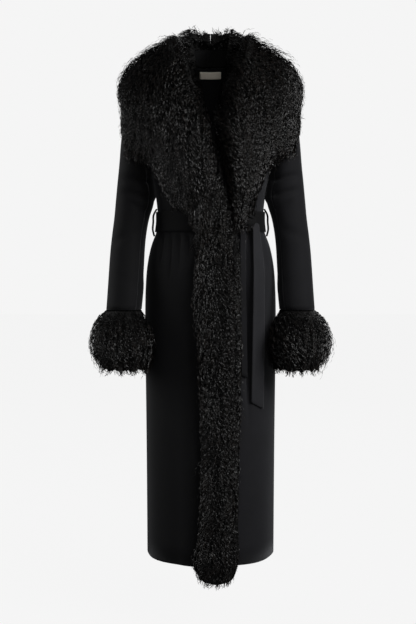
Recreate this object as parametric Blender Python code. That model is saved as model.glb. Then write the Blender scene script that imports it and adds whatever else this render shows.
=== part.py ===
"""Long wrap coat in black wool cloth with a curly fur shawl collar, front band and cuffs.

Metres, +Z up. The front faces -Y and +X is the wearer's left side. The origin is the
middle of the shoulder line at the neck, where the wearer's shoulders carry the coat.
"""
import math

import bpy
from mathutils import Vector
from mathutils.bvhtree import BVHTree

# Driving sizes of the cloth
wall = 0.003
seam_gap = 0.0003
hem_z = -1.250
waist_z = -0.403
underarm_z = -0.255
shoulder_slope = 0.42
neck_half = 0.085
neck_back = 0.070
neck_power = 0.65
shoulder_half = 0.198
section_power = 2.3
roof_power = 2.6
side_angle = math.radians(90.0 - 0.06)
seat_gap = 0.0006
crisp_angle = math.radians(40.0)
normal_step = 0.002

# Body sections below the underarm: half width, front depth and back depth at each height
body_sections = [
    {"z": -1.330, "half": 0.1640, "front": 0.1450, "back": 0.1400},
    {"z": -1.250, "half": 0.1640, "front": 0.1450, "back": 0.1400},
    {"z": -1.119, "half": 0.1642, "front": 0.1450, "back": 0.1390},
    {"z": -0.962, "half": 0.1650, "front": 0.1440, "back": 0.1370},
    {"z": -0.796, "half": 0.1660, "front": 0.1420, "back": 0.1350},
    {"z": -0.690, "half": 0.1680, "front": 0.1400, "back": 0.1350},
    {"z": -0.590, "half": 0.1676, "front": 0.1370, "back": 0.1340},
    {"z": -0.548, "half": 0.1650, "front": 0.1340, "back": 0.1300},
    {"z": -0.509, "half": 0.1615, "front": 0.1290, "back": 0.1230},
    {"z": -0.488, "half": 0.1570, "front": 0.1245, "back": 0.1170},
    {"z": -0.468, "half": 0.1530, "front": 0.1190, "back": 0.1100},
    {"z": -0.448, "half": 0.1460, "front": 0.1130, "back": 0.1030},
    {"z": -0.430, "half": 0.1375, "front": 0.1070, "back": 0.0960},
    {"z": -0.403, "half": 0.1335, "front": 0.1050, "back": 0.0930},
    {"z": -0.375, "half": 0.1345, "front": 0.1060, "back": 0.0940},
    {"z": -0.347, "half": 0.1370, "front": 0.1090, "back": 0.0970},
    {"z": -0.315, "half": 0.1425, "front": 0.1140, "back": 0.1010},
    {"z": -0.285, "half": 0.1490, "front": 0.1185, "back": 0.1050},
    {"z": -0.268, "half": 0.1540, "front": 0.1210, "back": 0.1070},
    {"z": -0.255, "half": 0.1585, "front": 0.1225, "back": 0.1085},
]

# Bodice above the underarm: rise 0 is the underarm, rise 1 is the shoulder seam
bodice_sections = [
    {"rise": 0.00, "half": 0.1585, "armhole": 0.1585, "front": 0.1225, "back": 0.1085},
    {"rise": 0.05, "half": 0.1655, "armhole": 0.1583, "front": 0.1238, "back": 0.1102},
    {"rise": 0.12, "half": 0.1740, "armhole": 0.1580, "front": 0.1250, "back": 0.1120},
    {"rise": 0.27, "half": 0.1910, "armhole": 0.1575, "front": 0.1270, "back": 0.1160},
    {"rise": 0.42, "half": 0.2020, "armhole": 0.1600, "front": 0.1270, "back": 0.1180},
    {"rise": 0.57, "half": 0.2090, "armhole": 0.1660, "front": 0.1250, "back": 0.1180},
    {"rise": 0.70, "half": 0.2120, "armhole": 0.1740, "front": 0.1200, "back": 0.1160},
    {"rise": 0.81, "half": 0.2135, "armhole": 0.1820, "front": 0.1150, "back": 0.1130},
    {"rise": 0.90, "half": 0.2145, "armhole": 0.1890, "front": 0.1110, "back": 0.1110},
    {"rise": 0.965, "half": 0.2150, "armhole": 0.1945, "front": 0.1080, "back": 0.1100},
    {"rise": 1.00, "half": 0.2150, "armhole": 0.1980, "front": 0.1060, "back": 0.1100},
]

# Heights of the rows of the body's walls below the underarm
skirt_rows = [hem_z, -1.06, -0.88, -0.73, -0.63, -0.56, -0.515, -0.485, -0.462, -0.444, -0.430,
              waist_z, -0.375, -0.340, -0.300, -0.272]

# Front edge of the cloth, measured toward the far side: down the skirt, then up the neckline
skirt_edge = [
    {"z": -1.330, "reach": 0.060},
    {"z": -0.950, "reach": 0.063},
    {"z": -0.600, "reach": 0.066},
    {"z": -0.430, "reach": 0.062},
    {"z": -0.375, "reach": 0.046},
    {"z": -0.315, "reach": 0.034},
    {"z": -0.255, "reach": 0.019},
]
neck_edge = [
    {"rise": 0.00, "reach": 0.019},
    {"rise": 0.27, "reach": -0.002},
    {"rise": 0.42, "reach": -0.018},
    {"rise": 0.57, "reach": -0.038},
    {"rise": 0.70, "reach": -0.056},
    {"rise": 0.81, "reach": -0.068},
    {"rise": 0.90, "reach": -0.077},
    {"rise": 1.00, "reach": -0.085},
]

# Soft gathers that the tied belt pulls into the skirt, by x on each side and their depth
front_gathers = [
    {"x": -0.112, "width": 0.011, "depth": 0.0034, "end_z": -0.500},
    {"x": -0.086, "width": 0.009, "depth": 0.0040, "end_z": -0.520},
    {"x": -0.060, "width": 0.009, "depth": 0.0032, "end_z": -0.490},
    {"x": 0.118, "width": 0.012, "depth": 0.0026, "end_z": -0.500},
]
gather_start = 0.016
gather_drift = 0.5
gather_tail = 0.03
back_gathers = [
    {"x": -0.098, "width": 0.011, "depth": 0.0034, "end_z": -0.510},
    {"x": -0.052, "width": 0.010, "depth": 0.0038, "end_z": -0.500},
    {"x": 0.004, "width": 0.011, "depth": 0.0030, "end_z": -0.490},
    {"x": 0.060, "width": 0.010, "depth": 0.0038, "end_z": -0.520},
    {"x": 0.104, "width": 0.012, "depth": 0.0030, "end_z": -0.500},
]

# Sleeve rings from the armhole to the cuff seam: outer and inner points, half depth, centre y
sleeve_rings = [
    {"blend": 0.35, "out_x": 0.2105, "out_z": -0.062,
     "in_x": 0.1605, "in_z": -0.259, "depth": 0.086, "y": 0.0},
    {"blend": 0.65, "out_x": 0.2145, "out_z": -0.093,
     "in_x": 0.1588, "in_z": -0.264, "depth": 0.083, "y": 0.0},
    {"blend": 0.9, "out_x": 0.218, "out_z": -0.131,
     "in_x": 0.1558, "in_z": -0.271, "depth": 0.078, "y": 0.0},
    {"blend": 1.0, "out_x": 0.2228, "out_z": -0.17,
     "in_x": 0.1529, "in_z": -0.28, "depth": 0.0735, "y": 0.0},
    {"blend": 1.0, "out_x": 0.229, "out_z": -0.208,
     "in_x": 0.1502, "in_z": -0.29, "depth": 0.07, "y": 0.0},
    {"blend": 1.0, "out_x": 0.2322, "out_z": -0.243,
     "in_x": 0.1475, "in_z": -0.302, "depth": 0.0675, "y": 0.0},
    {"blend": 1.0, "out_x": 0.2354, "out_z": -0.275,
     "in_x": 0.1447, "in_z": -0.315, "depth": 0.0655, "y": 0.0},
    {"blend": 1.0, "out_x": 0.2388, "out_z": -0.305,
     "in_x": 0.1420, "in_z": -0.33, "depth": 0.064, "y": -0.001},
    {"blend": 1.0, "out_x": 0.2415, "out_z": -0.332,
     "in_x": 0.1410, "in_z": -0.345, "depth": 0.0625, "y": -0.002},
    {"blend": 1.0, "out_x": 0.244, "out_z": -0.359,
     "in_x": 0.1440, "in_z": -0.364, "depth": 0.0605, "y": -0.003},
    {"blend": 1.0, "out_x": 0.2458, "out_z": -0.388,
     "in_x": 0.154, "in_z": -0.388, "depth": 0.058, "y": -0.006},
    {"blend": 1.0, "out_x": 0.2503, "out_z": -0.428,
     "in_x": 0.1613, "in_z": -0.428, "depth": 0.056, "y": -0.013},
    {"blend": 1.0, "out_x": 0.2546, "out_z": -0.47,
     "in_x": 0.1652, "in_z": -0.47, "depth": 0.055, "y": -0.023},
    {"blend": 1.0, "out_x": 0.2566, "out_z": -0.52,
     "in_x": 0.1662, "in_z": -0.52, "depth": 0.054, "y": -0.037},
    {"blend": 1.0, "out_x": 0.2582, "out_z": -0.57,
     "in_x": 0.1692, "in_z": -0.57, "depth": 0.053, "y": -0.052},
    {"blend": 1.0, "out_x": 0.2605, "out_z": -0.6205,
     "in_x": 0.1733, "in_z": -0.6205, "depth": 0.052, "y": -0.068},
]

# Soft creases inside the elbow, each a tilted trough across the front of a sleeve
elbow_creases = [
    {"z": -0.262, "tilt": 0.30, "depth": 0.0030, "width": 0.009, "angle": 78.0},
    {"z": -0.298, "tilt": 0.22, "depth": 0.0034, "width": 0.010, "angle": 96.0},
    {"z": -0.338, "tilt": 0.35, "depth": 0.0026, "width": 0.009, "angle": 84.0},
]
crease_spread = 42.0
crease_slant = 0.03
sleeve_power = 2.15

# Each sleeve is cut in two: its seams meet the armhole at these rises, in front and behind
sleeve_seams = {"front": 0.12, "back": 0.42}
armhole_gap = 0.0006

# Fur cuffs: far and near side in x, half depth and centre y at each height
cuff_top_z = -0.6208
cuff_rings = [
    {"z": -0.6208, "far": 0.2625, "near": 0.1712, "depth": 0.0540, "y": -0.068},
    {"z": -0.6460, "far": 0.2880, "near": 0.1484, "depth": 0.0740, "y": -0.074},
    {"z": -0.6660, "far": 0.2970, "near": 0.1360, "depth": 0.0810, "y": -0.080},
    {"z": -0.6960, "far": 0.3030, "near": 0.1280, "depth": 0.0860, "y": -0.084},
    {"z": -0.7260, "far": 0.3010, "near": 0.1290, "depth": 0.0840, "y": -0.086},
    {"z": -0.7470, "far": 0.2860, "near": 0.1400, "depth": 0.0720, "y": -0.086},
    {"z": -0.7660, "far": 0.2640, "near": 0.1580, "depth": 0.0560, "y": -0.084},
]
cuff_hole_half = 0.0400
cuff_hole_depth = 0.0480
cuff_hole_end_z = -0.7480
cuff_fringe = 0.013
cuff_sides = 22
cuff_near_left = 0.004
cuff_swell = 0.035
cuff_lean = 0.07
cuff_clearance = 0.0035
clearance_rounds = 24

# Fur collar: rim of the roll and outer edge for each rib from the belt to the centre back
# rim_over is the rim's x on the wearer's right, which laps over; rim_under is the other side's
collar_ribs = [
    {"rim_over": 0.0500, "rim_under": 0.0515, "rim_y": -0.110, "rim_z": -0.372,
     "over_x": 0.086, "under_x": 0.104, "edge_y": -0.100, "edge_z": -0.374, "near": 0.026,
     "far": 0.022, "edge": 0.012},
    {"rim_over": 0.0440, "rim_under": 0.0455, "rim_y": -0.115, "rim_z": -0.345,
     "over_x": 0.107, "under_x": 0.121, "edge_y": -0.095, "edge_z": -0.347, "near": 0.030,
     "far": 0.025, "edge": 0.012},
    {"rim_over": 0.0370, "rim_under": 0.0385, "rim_y": -0.120, "rim_z": -0.315,
     "over_x": 0.126, "under_x": 0.131, "edge_y": -0.090, "edge_z": -0.315, "near": 0.034,
     "far": 0.028, "edge": 0.013},
    {"rim_over": 0.0250, "rim_under": 0.0265, "rim_y": -0.125, "rim_z": -0.270,
     "over_x": 0.142, "under_x": 0.142, "edge_y": -0.080, "edge_z": -0.284, "near": 0.038,
     "far": 0.030, "edge": 0.014},
    {"rim_over": 0.0140, "rim_under": 0.0155, "rim_y": -0.130, "rim_z": -0.230,
     "over_x": 0.162, "under_x": 0.162, "edge_y": -0.080, "edge_z": -0.272, "near": 0.041,
     "far": 0.030, "edge": 0.015},
    {"rim_over": 0.0050, "rim_under": 0.0065, "rim_y": -0.130, "rim_z": -0.190,
     "over_x": 0.186, "under_x": 0.184, "edge_y": -0.080, "edge_z": -0.252, "near": 0.043,
     "far": 0.028, "edge": 0.014},
    {"rim_over": -0.0010, "rim_under": 0.0010, "rim_y": -0.125, "rim_z": -0.155,
     "over_x": 0.206, "under_x": 0.203, "edge_y": -0.070, "edge_z": -0.222, "near": 0.045,
     "far": 0.022, "edge": 0.011},
    {"rim_over": -0.0120, "rim_under": 0.0150, "rim_y": -0.105, "rim_z": -0.118,
     "over_x": 0.218, "under_x": 0.216, "edge_y": -0.050, "edge_z": -0.182, "near": 0.050,
     "far": 0.014, "edge": 0.008},
    {"rim_over": -0.0240, "rim_under": 0.0240, "rim_y": -0.085, "rim_z": -0.078,
     "over_x": 0.224, "under_x": 0.224, "edge_y": -0.030, "edge_z": -0.150, "near": 0.058,
     "far": 0.008, "edge": 0.006},
    {"rim_over": -0.0330, "rim_under": 0.0330, "rim_y": -0.062, "rim_z": -0.036,
     "over_x": 0.226, "under_x": 0.226, "edge_y": -0.005, "edge_z": -0.132, "near": 0.064,
     "far": 0.006, "edge": 0.006},
    {"rim_over": -0.0400, "rim_under": 0.0400, "rim_y": -0.035, "rim_z": 0.006,
     "over_x": 0.224, "under_x": 0.224, "edge_y": 0.025, "edge_z": -0.128, "near": 0.063,
     "far": 0.006, "edge": 0.006},
    {"rim_over": -0.0440, "rim_under": 0.0440, "rim_y": -0.010, "rim_z": 0.038,
     "over_x": 0.216, "under_x": 0.216, "edge_y": 0.055, "edge_z": -0.134, "near": 0.057,
     "far": 0.008, "edge": 0.008},
    {"rim_over": -0.0460, "rim_under": 0.0460, "rim_y": 0.016, "rim_z": 0.056,
     "over_x": 0.200, "under_x": 0.200, "edge_y": 0.085, "edge_z": -0.150, "near": 0.053,
     "far": 0.014, "edge": 0.012},
    {"rim_over": -0.0420, "rim_under": 0.0420, "rim_y": 0.038, "rim_z": 0.062,
     "over_x": 0.172, "under_x": 0.172, "edge_y": 0.105, "edge_z": -0.172, "near": 0.054,
     "far": 0.022, "edge": 0.014},
    {"rim_over": -0.0320, "rim_under": 0.0320, "rim_y": 0.052, "rim_z": 0.062,
     "over_x": 0.130, "under_x": 0.130, "edge_y": 0.120, "edge_z": -0.195, "near": 0.057,
     "far": 0.028, "edge": 0.015},
    {"rim_over": -0.0160, "rim_under": 0.0160, "rim_y": 0.060, "rim_z": 0.058,
     "over_x": 0.070, "under_x": 0.070, "edge_y": 0.125, "edge_z": -0.212, "near": 0.057,
     "far": 0.031, "edge": 0.016},
    {"rim_over": -0.0004, "rim_under": 0.0004, "rim_y": 0.064, "rim_z": 0.052,
     "over_x": 0.0004, "under_x": 0.0004, "edge_y": 0.130, "edge_z": -0.218, "near": 0.046,
     "far": 0.030, "edge": 0.016},
]
collar_rib_count = 27
collar_columns = 11
collar_lift = 0.0016
neck_lift = 0.020
settle_gap = 0.0020
settle_rounds = 14
settle_samples = 6
settle_push = 1.5
ray_reach = 0.6
core_half = 0.10
core_low_z = -0.55
core_high_z = -0.13
free_rim_z = -0.17
neck_lift_z = -0.09
lock_ridge = 0.07
lock_tip = 0.006

# Stand inside the collar at the back of the neck
stand_top_z = 0.042
stand_drop = 0.024
stand_lean = 0.006
stand_turn = math.radians(62.0)
stand_foot = 0.0030

# Fur band on the lapping front edge: left and right edge in x and thickness at each height
band_sections = [
    {"z": -0.3740, "left": -0.036, "right": 0.050, "thick": 0.024},
    {"z": -0.4000, "left": -0.038, "right": 0.053, "thick": 0.022},
    {"z": -0.4350, "left": -0.036, "right": 0.057, "thick": 0.022},
    {"z": -0.4700, "left": -0.036, "right": 0.069, "thick": 0.026},
    {"z": -0.5200, "left": -0.038, "right": 0.070, "thick": 0.028},
    {"z": -0.6000, "left": -0.038, "right": 0.071, "thick": 0.030},
    {"z": -0.7200, "left": -0.028, "right": 0.071, "thick": 0.030},
    {"z": -0.8400, "left": -0.024, "right": 0.071, "thick": 0.030},
    {"z": -0.9600, "left": -0.022, "right": 0.067, "thick": 0.029},
    {"z": -1.0850, "left": -0.023, "right": 0.065, "thick": 0.028},
    {"z": -1.1850, "left": -0.028, "right": 0.065, "thick": 0.027},
    {"z": -1.2350, "left": -0.044, "right": 0.067, "thick": 0.026},
    {"z": -1.2600, "left": -0.044, "right": 0.064, "thick": 0.022},
    {"z": -1.2800, "left": -0.022, "right": 0.054, "thick": 0.015},
]
band_rows = 34
band_columns = 7
band_ragged = 0.004
band_strand = 0.06
band_tip = 0.011
belt_clearance = 0.0009

# Tie belt of doubled cloth, its knot and its two hanging ends
belt_top_z = -0.3775
belt_bottom_z = -0.4285
belt_thick = 0.004
belt_steps = 48
belt_lift_end_x = 0.088
belt_lift_ramp = 0.022
end_gap = 0.0004
end_off_belt = 0.030
end_clearance = 0.0008
lap_lift = 0.0042
under_setback = 0.022
lap_start = 0.046
lap_ramp = 0.026
lap_fade = 0.012
knot_centre_x = 0.0810
knot_half_x = 0.0220
knot_half_z = 0.0170
knot_depth = 0.0200
knot_square = 0.8
knot_round = 0.7
knot_ridge = 0.10
knot_slant = 0.8
wide_end = [
    {"share": 0.00, "inner": 0.0960, "outer": 0.1130, "inner_z": -0.4060, "outer_z": -0.4100},
    {"share": 0.12, "inner": 0.1020, "outer": 0.1240, "inner_z": -0.4550, "outer_z": -0.4600},
    {"share": 0.25, "inner": 0.1040, "outer": 0.1310, "inner_z": -0.5150, "outer_z": -0.5200},
    {"share": 1.00, "inner": 0.0985, "outer": 0.1285, "inner_z": -0.8460, "outer_z": -0.8660},
]
narrow_end = [
    {"share": 0.00, "inner": 0.0700, "outer": 0.0815, "inner_z": -0.4220, "outer_z": -0.4220},
    {"share": 0.12, "inner": 0.0705, "outer": 0.0825, "inner_z": -0.4600, "outer_z": -0.4600},
    {"share": 0.25, "inner": 0.0715, "outer": 0.0835, "inner_z": -0.5100, "outer_z": -0.5100},
    {"share": 1.00, "inner": 0.0745, "outer": 0.0885, "inner_z": -0.7780, "outer_z": -0.7860},
]
end_rows = 13

# Belt loops at the side seams
loop_half_width = 0.0035
loop_thick = 0.0030
loop_top_z = -0.3700
loop_bottom_z = -0.4380
loop_stand = 0.0098
loop_bow = 0.22

# Bare woven label inside the back of the neck
label_half = 0.0285
label_top_z = -0.0105
label_bottom_z = -0.0325
label_thick = 0.0010


def make_material(name, hex_colour, roughness):
    """A plain material for one sub-part."""
    material = bpy.data.materials.new(name)
    material.use_nodes = True
    shader = material.node_tree.nodes["Principled BSDF"]
    channels = [int(hex_colour[i:i + 2], 16) / 255 for i in (0, 2, 4)]
    linear = [c / 12.92 if c <= 0.04045 else ((c + 0.055) / 1.055) ** 2.4 for c in channels]
    shader.inputs["Base Color"].default_value = (*linear, 1.0)
    shader.inputs["Roughness"].default_value = roughness
    shader.inputs["Metallic"].default_value = 0.0
    material.diffuse_color = (*linear, 1.0)
    return material


def smooth_step(value):
    """Rise from 0 to 1 with soft ends."""
    value = min(1.0, max(0.0, value))
    return value * value * (3.0 - 2.0 * value)


def read_table(table, key, value, column):
    """Read a column between the rows of a table that is sorted by key."""
    rows = table if table[0][key] < table[-1][key] else table[::-1]
    if value <= rows[0][key]:
        return rows[0][column]
    for low, high in zip(rows, rows[1:]):
        if value <= high[key]:
            share = (value - low[key]) / (high[key] - low[key])
            return low[column] + share * (high[column] - low[column])
    return rows[-1][column]


def shoulder_line(x):
    """Height of the shoulder seam at x."""
    return -shoulder_slope * (abs(x) - neck_half)


def body_size(level):
    """Half width, front depth and back depth; level is z below the underarm or the rise above."""
    if level < 0.0:
        z = underarm_z + level
        return [read_table(body_sections, "z", z, name) for name in ("half", "front", "back")]
    half, front, back = [
        read_table(bodice_sections, "rise", level, name) for name in ("half", "front", "back")]
    roof = max(0.0, 1.0 - level ** roof_power) ** (1.0 / roof_power)
    return [half, front * roof, back * roof]


def plain_point(angle, level):
    """Outer face of the body, angle 0 at the front and 90 degrees at the wearer's left side."""
    half, front, back = body_size(level)
    power = 2.0 / section_power
    x = half * math.copysign(abs(math.sin(angle)) ** power, math.sin(angle))
    reach = abs(math.cos(angle)) ** power
    y = -front * reach if math.cos(angle) > 0.0 else back * reach
    if level < 0.0:
        return Vector((x, y, underarm_z + level))
    return Vector((x, y, underarm_z + level * (shoulder_line(x) - underarm_z)))


def gather_depth(x, z, on_back):
    """How far the belt's gathers dent the skirt at this place."""
    total = 0.0
    for fold in (back_gathers if on_back else front_gathers):
        if z > belt_bottom_z or z < fold["end_z"] - gather_tail:
            continue
        start = smooth_step((belt_bottom_z - z) / gather_start)
        fade = 1.0 - smooth_step((belt_bottom_z - 0.02 - z) / (belt_bottom_z - fold["end_z"]))
        centre = fold["x"] * (1.0 + gather_drift * (belt_bottom_z - z))
        across = (x - centre) / fold["width"]
        total += fold["depth"] * start * fade * math.exp(-across * across)
    return total


def body_point(angle, level, lift):
    """A point of the body moved out by lift along the surface's own normal."""
    point = plain_point(angle, level)
    low = level - normal_step if level > 0.5 or level == 0.0 else level
    high = level if level > 0.5 else level + normal_step
    along = plain_point(angle, high) - plain_point(angle, low)
    across = plain_point(angle + normal_step, level) - plain_point(angle - normal_step, level)
    normal = across.cross(along)
    if level > 0.995:
        normal.y = 0.0
    normal.normalize()
    dent = gather_depth(point.x, point.z, math.cos(angle) < 0.0) if level < 0.0 else 0.0
    return point + normal * (lift - dent)


def angle_at_x(x, level, on_back=False):
    """The angle at which the body's section reaches this x."""
    half = body_size(level)[0]
    share = min(1.0, abs(x) / half) ** (section_power / 2.0)
    angle = math.copysign(math.asin(share), x)
    return math.pi - angle if on_back else angle


def edge_reach(level):
    """How far past the middle a front's cloth edge reaches at this level."""
    if level < 0.0:
        return read_table(skirt_edge, "z", underarm_z + level, "reach")
    return read_table(neck_edge, "rise", level, "reach")


def under_reach(level):
    """How far the front that lies under reaches past the middle."""
    reach = edge_reach(level)
    return reach - under_setback * smooth_step(reach / 0.030)


def over_lift(x, level):
    """How far the lapping front lies over the other one."""
    across = smooth_step((x + under_reach(level) + lap_start) / lap_ramp)
    return lap_lift * across * smooth_step((edge_reach(level) + lap_fade) / lap_fade)


def link_object(name, vertices, faces, material):
    """Make an object from points and faces, with its faces pointing out."""
    mesh = bpy.data.meshes.new(name)
    mesh.from_pydata([tuple(v) for v in vertices], [], faces)
    mesh.materials.append(material)
    mesh.shade_smooth()
    mesh.set_sharp_from_angle(angle=crisp_angle)
    obj = bpy.data.objects.new(name, mesh)
    bpy.context.scene.collection.objects.link(obj)
    return obj


def make_shell(name, outside, inside, material, ring=False, flip=False):
    """Close the space between two grids of the same size; ring joins the last column to the first."""
    rows = len(outside)
    columns = len(outside[0])
    count = rows * columns
    vertices = [p for row in outside for p in row] + [p for row in inside for p in row]
    faces = []
    last = columns if ring else columns - 1
    for r in range(rows - 1):
        for c in range(last):
            d = (c + 1) % columns
            quad = [r * columns + c, r * columns + d, (r + 1) * columns + d, (r + 1) * columns + c]
            for half in (quad[:3], [quad[0], quad[2], quad[3]]):
                faces.append(half)
                faces.append([count + v for v in reversed(half)])
    for c in range(last):
        d = (c + 1) % columns
        foot = (rows - 1) * columns
        faces.append([c, count + c, count + d, d])
        faces.append([foot + d, count + foot + d, count + foot + c, foot + c])
    if not ring:
        for r in range(rows - 1):
            a, b = r * columns, (r + 1) * columns
            end = columns - 1
            faces.append([a, b, count + b])
            faces.append([a, count + b, count + a])
            faces.append([b + end, a + end, count + b + end])
            faces.append([a + end, count + a + end, count + b + end])
    if flip:
        faces = [list(reversed(f)) for f in faces]
    return link_object(name, vertices, faces, material)


def skirt_levels():
    """Levels of the body's rows, from the hem up to just under the armhole."""
    return [z - underarm_z for z in skirt_rows]


def bodice_rises():
    """Levels of the rows above the underarm."""
    return [row["rise"] for row in bodice_sections]


def armhole_angle(rise):
    """The angle of the armhole's edge, measured from the front or the back."""
    half = read_table(bodice_sections, "rise", rise, "half")
    share = min(1.0, read_table(bodice_sections, "rise", rise, "armhole") / half)
    return min(side_angle, math.asin(share ** (section_power / 2.0)))


def top_rise(x, on_back):
    """The rise of the shoulder seam at x, or of the neck seam inside the neck."""
    half = read_table(bodice_sections, "rise", 1.0, "half")
    depth = bodice_sections[-1]["back" if on_back else "front"]
    share = min(1.0, abs(x) / half) ** (section_power / 2.0)
    reach = math.cos(math.asin(share)) ** (2.0 / section_power)
    line = 0.5 * seam_gap
    if on_back and abs(x) < neck_half:
        line = max(line, neck_back * (1.0 - (x / neck_half) ** 2) ** neck_power)
    return (1.0 - (line / (depth * reach)) ** roof_power) ** (1.0 / roof_power)


def make_front(name, side, material):
    """One front: side 1 is the wearer's left, which lies under; side -1 laps over it."""
    columns = 18
    outside = []
    inside = []
    for level in skirt_levels() + bodice_rises():
        limit = side_angle if level < 0.0 else armhole_angle(level)
        reach = edge_reach(level) if side < 0 else under_reach(level)
        edge = angle_at_x(-reach, level)
        outer_row = []
        inner_row = []
        for c in range(columns):
            share = c / (columns - 1)
            angle = side * (edge + share * (limit - edge))
            x = plain_point(angle, level).x
            row_level = level if level < 1.0 else top_rise(x, False)
            lift = over_lift(x, level) if side < 0 else 0.0
            outer_row.append(body_point(angle, row_level, lift))
            inner_row.append(body_point(angle, row_level, lift - wall))
        outside.append(outer_row)
        inside.append(inner_row)
    return make_shell(name, outside, inside, material, flip=side < 0)


def make_back(name, material):
    """The back in one piece from side seam to side seam."""
    columns = 21
    outside = []
    inside = []
    for level in skirt_levels() + bodice_rises():
        limit = side_angle if level < 0.0 else armhole_angle(level)
        outer_row = []
        inner_row = []
        for c in range(columns):
            turn = limit * (2.0 * c / (columns - 1) - 1.0)
            x = plain_point(turn, level).x
            scale = 1.0 if level < 0.0 else top_rise(x, True)
            row_level = level * scale if level > 0.0 else level
            angle = math.pi - turn
            outer_row.append(body_point(angle, row_level, 0.0))
            inner_row.append(body_point(angle, row_level, -wall))
        outside.append(outer_row)
        inside.append(inner_row)
    return make_shell(name, outside, inside, material, flip=True)


def armhole_point(rise, front):
    """A point of the armhole seam, just clear of the panels' edge."""
    angle = armhole_angle(rise)
    level = min(rise, top_rise(read_table(bodice_sections, "rise", 1.0, "armhole"), not front))
    turn = angle if front else math.pi - angle
    point = body_point(turn, level, 0.0)
    step = 0.004 if front else -0.004
    side = (plain_point(turn + step, level) - plain_point(turn, level)).normalized()
    away = Vector((0.0, 0.0, 1.0)).lerp(side, smooth_step(rise / 0.3)).normalized()
    return point + away * armhole_gap


def crease_depth(turn, z):
    """How far the elbow's soft creases dent a sleeve."""
    total = 0.0
    degrees = math.degrees(turn) % 360.0
    for crease in elbow_creases:
        across = (degrees - crease["angle"]) / crease_spread
        along = (z - crease["z"] + crease["tilt"] * crease_slant * across) / crease["width"]
        total += crease["depth"] * math.exp(-across * across - along * along)
    return total


def sleeve_grid(side):
    """Rings of a sleeve's outer face, from the armhole to the cuff seam."""
    rises = bodice_rises()
    stations = [(r, True) for r in reversed(rises)] + [(r, False) for r in rises[1:-1]]
    seam = [armhole_point(rise, front) for rise, front in stations]
    grid = [[Vector((side * p.x, p.y, p.z)) for p in seam]]
    for ring in sleeve_rings:
        outer = Vector((ring["out_x"], ring["y"], ring["out_z"]))
        inner = Vector((ring["in_x"], ring["y"], ring["in_z"]))
        centre = (outer + inner) / 2.0
        row = []
        for (rise, front), start in zip(stations, seam):
            turn = math.acos(2.0 * rise - 1.0) * (1.0 if front else -1.0)
            power = 2.0 / sleeve_power
            along = math.copysign(abs(math.cos(turn)) ** power, math.cos(turn))
            deep = math.copysign(abs(math.sin(turn)) ** power, math.sin(turn))
            point = centre + (outer - inner) / 2.0 * along - Vector((0.0, ring["depth"] * deep, 0.0))
            dent = crease_depth(turn, point.z)
            point -= (point - centre).normalized() * dent
            moved = start + Vector((outer.x - shoulder_half, 0.0, 0.0)) * 0.5
            point = moved.lerp(point, ring["blend"])
            row.append(Vector((side * point.x, point.y, point.z)))
        grid.append(row)
    return grid


def ring_normals(grid):
    """Outward normals of a tube's rings, from its own neighbours."""
    rows = len(grid)
    columns = len(grid[0])
    normals = []
    for r in range(rows):
        row = []
        for c in range(columns):
            around = grid[r][(c + 1) % columns] - grid[r][c - 1]
            down = grid[min(r + 1, rows - 1)][c] - grid[max(r - 1, 0)][c]
            row.append(around.cross(down).normalized())
        normals.append(row)
    return normals


def sleeve_columns(panel):
    """Columns of a sleeve's grid from one seam to the other, for its top or its under panel."""
    rises = bodice_rises()
    top = len(rises) - 1
    front = top - rises.index(sleeve_seams["front"])
    back = top + rises.index(sleeve_seams["back"])
    around = 2 * top
    if panel == "top":
        return [c % around for c in range(back, around + front + 1)]
    return list(range(front, back + 1))


def draw_in_ends(row, outer):
    """Move a row's two ends inward by half the gap of a seam, the way its outer row runs."""
    first = row[0] + (outer[1] - outer[0]).normalized() * 0.5 * seam_gap
    last = row[-1] + (outer[-2] - outer[-1]).normalized() * 0.5 * seam_gap
    return [first] + row[1:-1] + [last]


def make_sleeve(name, side, panel, material):
    """One of a sleeve's two panels, with a cloth wall."""
    grid = sleeve_grid(side)
    normals = ring_normals(grid)
    for normal in normals[-1]:
        normal.z = 0.0
        normal.normalize()
    facing = normals[-1][0].x * side
    sign = 1.0 if facing > 0.0 else -1.0
    inside = [[p - n * wall * sign for p, n in zip(row, turn)] for row, turn in zip(grid, normals)]
    columns = sleeve_columns(panel)
    outer_rows = [[row[c] for c in columns] for row in grid]
    inner_rows = [[row[c] for c in columns] for row in inside]
    inner_rows = [draw_in_ends(row, outer) for row, outer in zip(inner_rows, outer_rows)]
    outer_rows = [draw_in_ends(row, row) for row in outer_rows]
    return make_shell(name, outer_rows, inner_rows, material, flip=side < 0)


def clear_of_body(centre, point, margin):
    """Pull a cuff's point back toward its centre until it is clear of the body."""
    level = point.z - underarm_z
    half, front, back = body_size(level)

    def inside_body(p):
        depth = front if p.y < 0.0 else back
        across = abs(p.x) / (half + margin)
        deep = abs(p.y) / (depth + margin)
        return across ** section_power + deep ** section_power < 1.0

    if not inside_body(point):
        return point
    low, high = 0.0, 1.0
    for _ in range(clearance_rounds):
        middle = (low + high) / 2.0
        if inside_body(centre.lerp(point, middle)):
            high = middle
        else:
            low = middle
    return centre.lerp(point, low)


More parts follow.
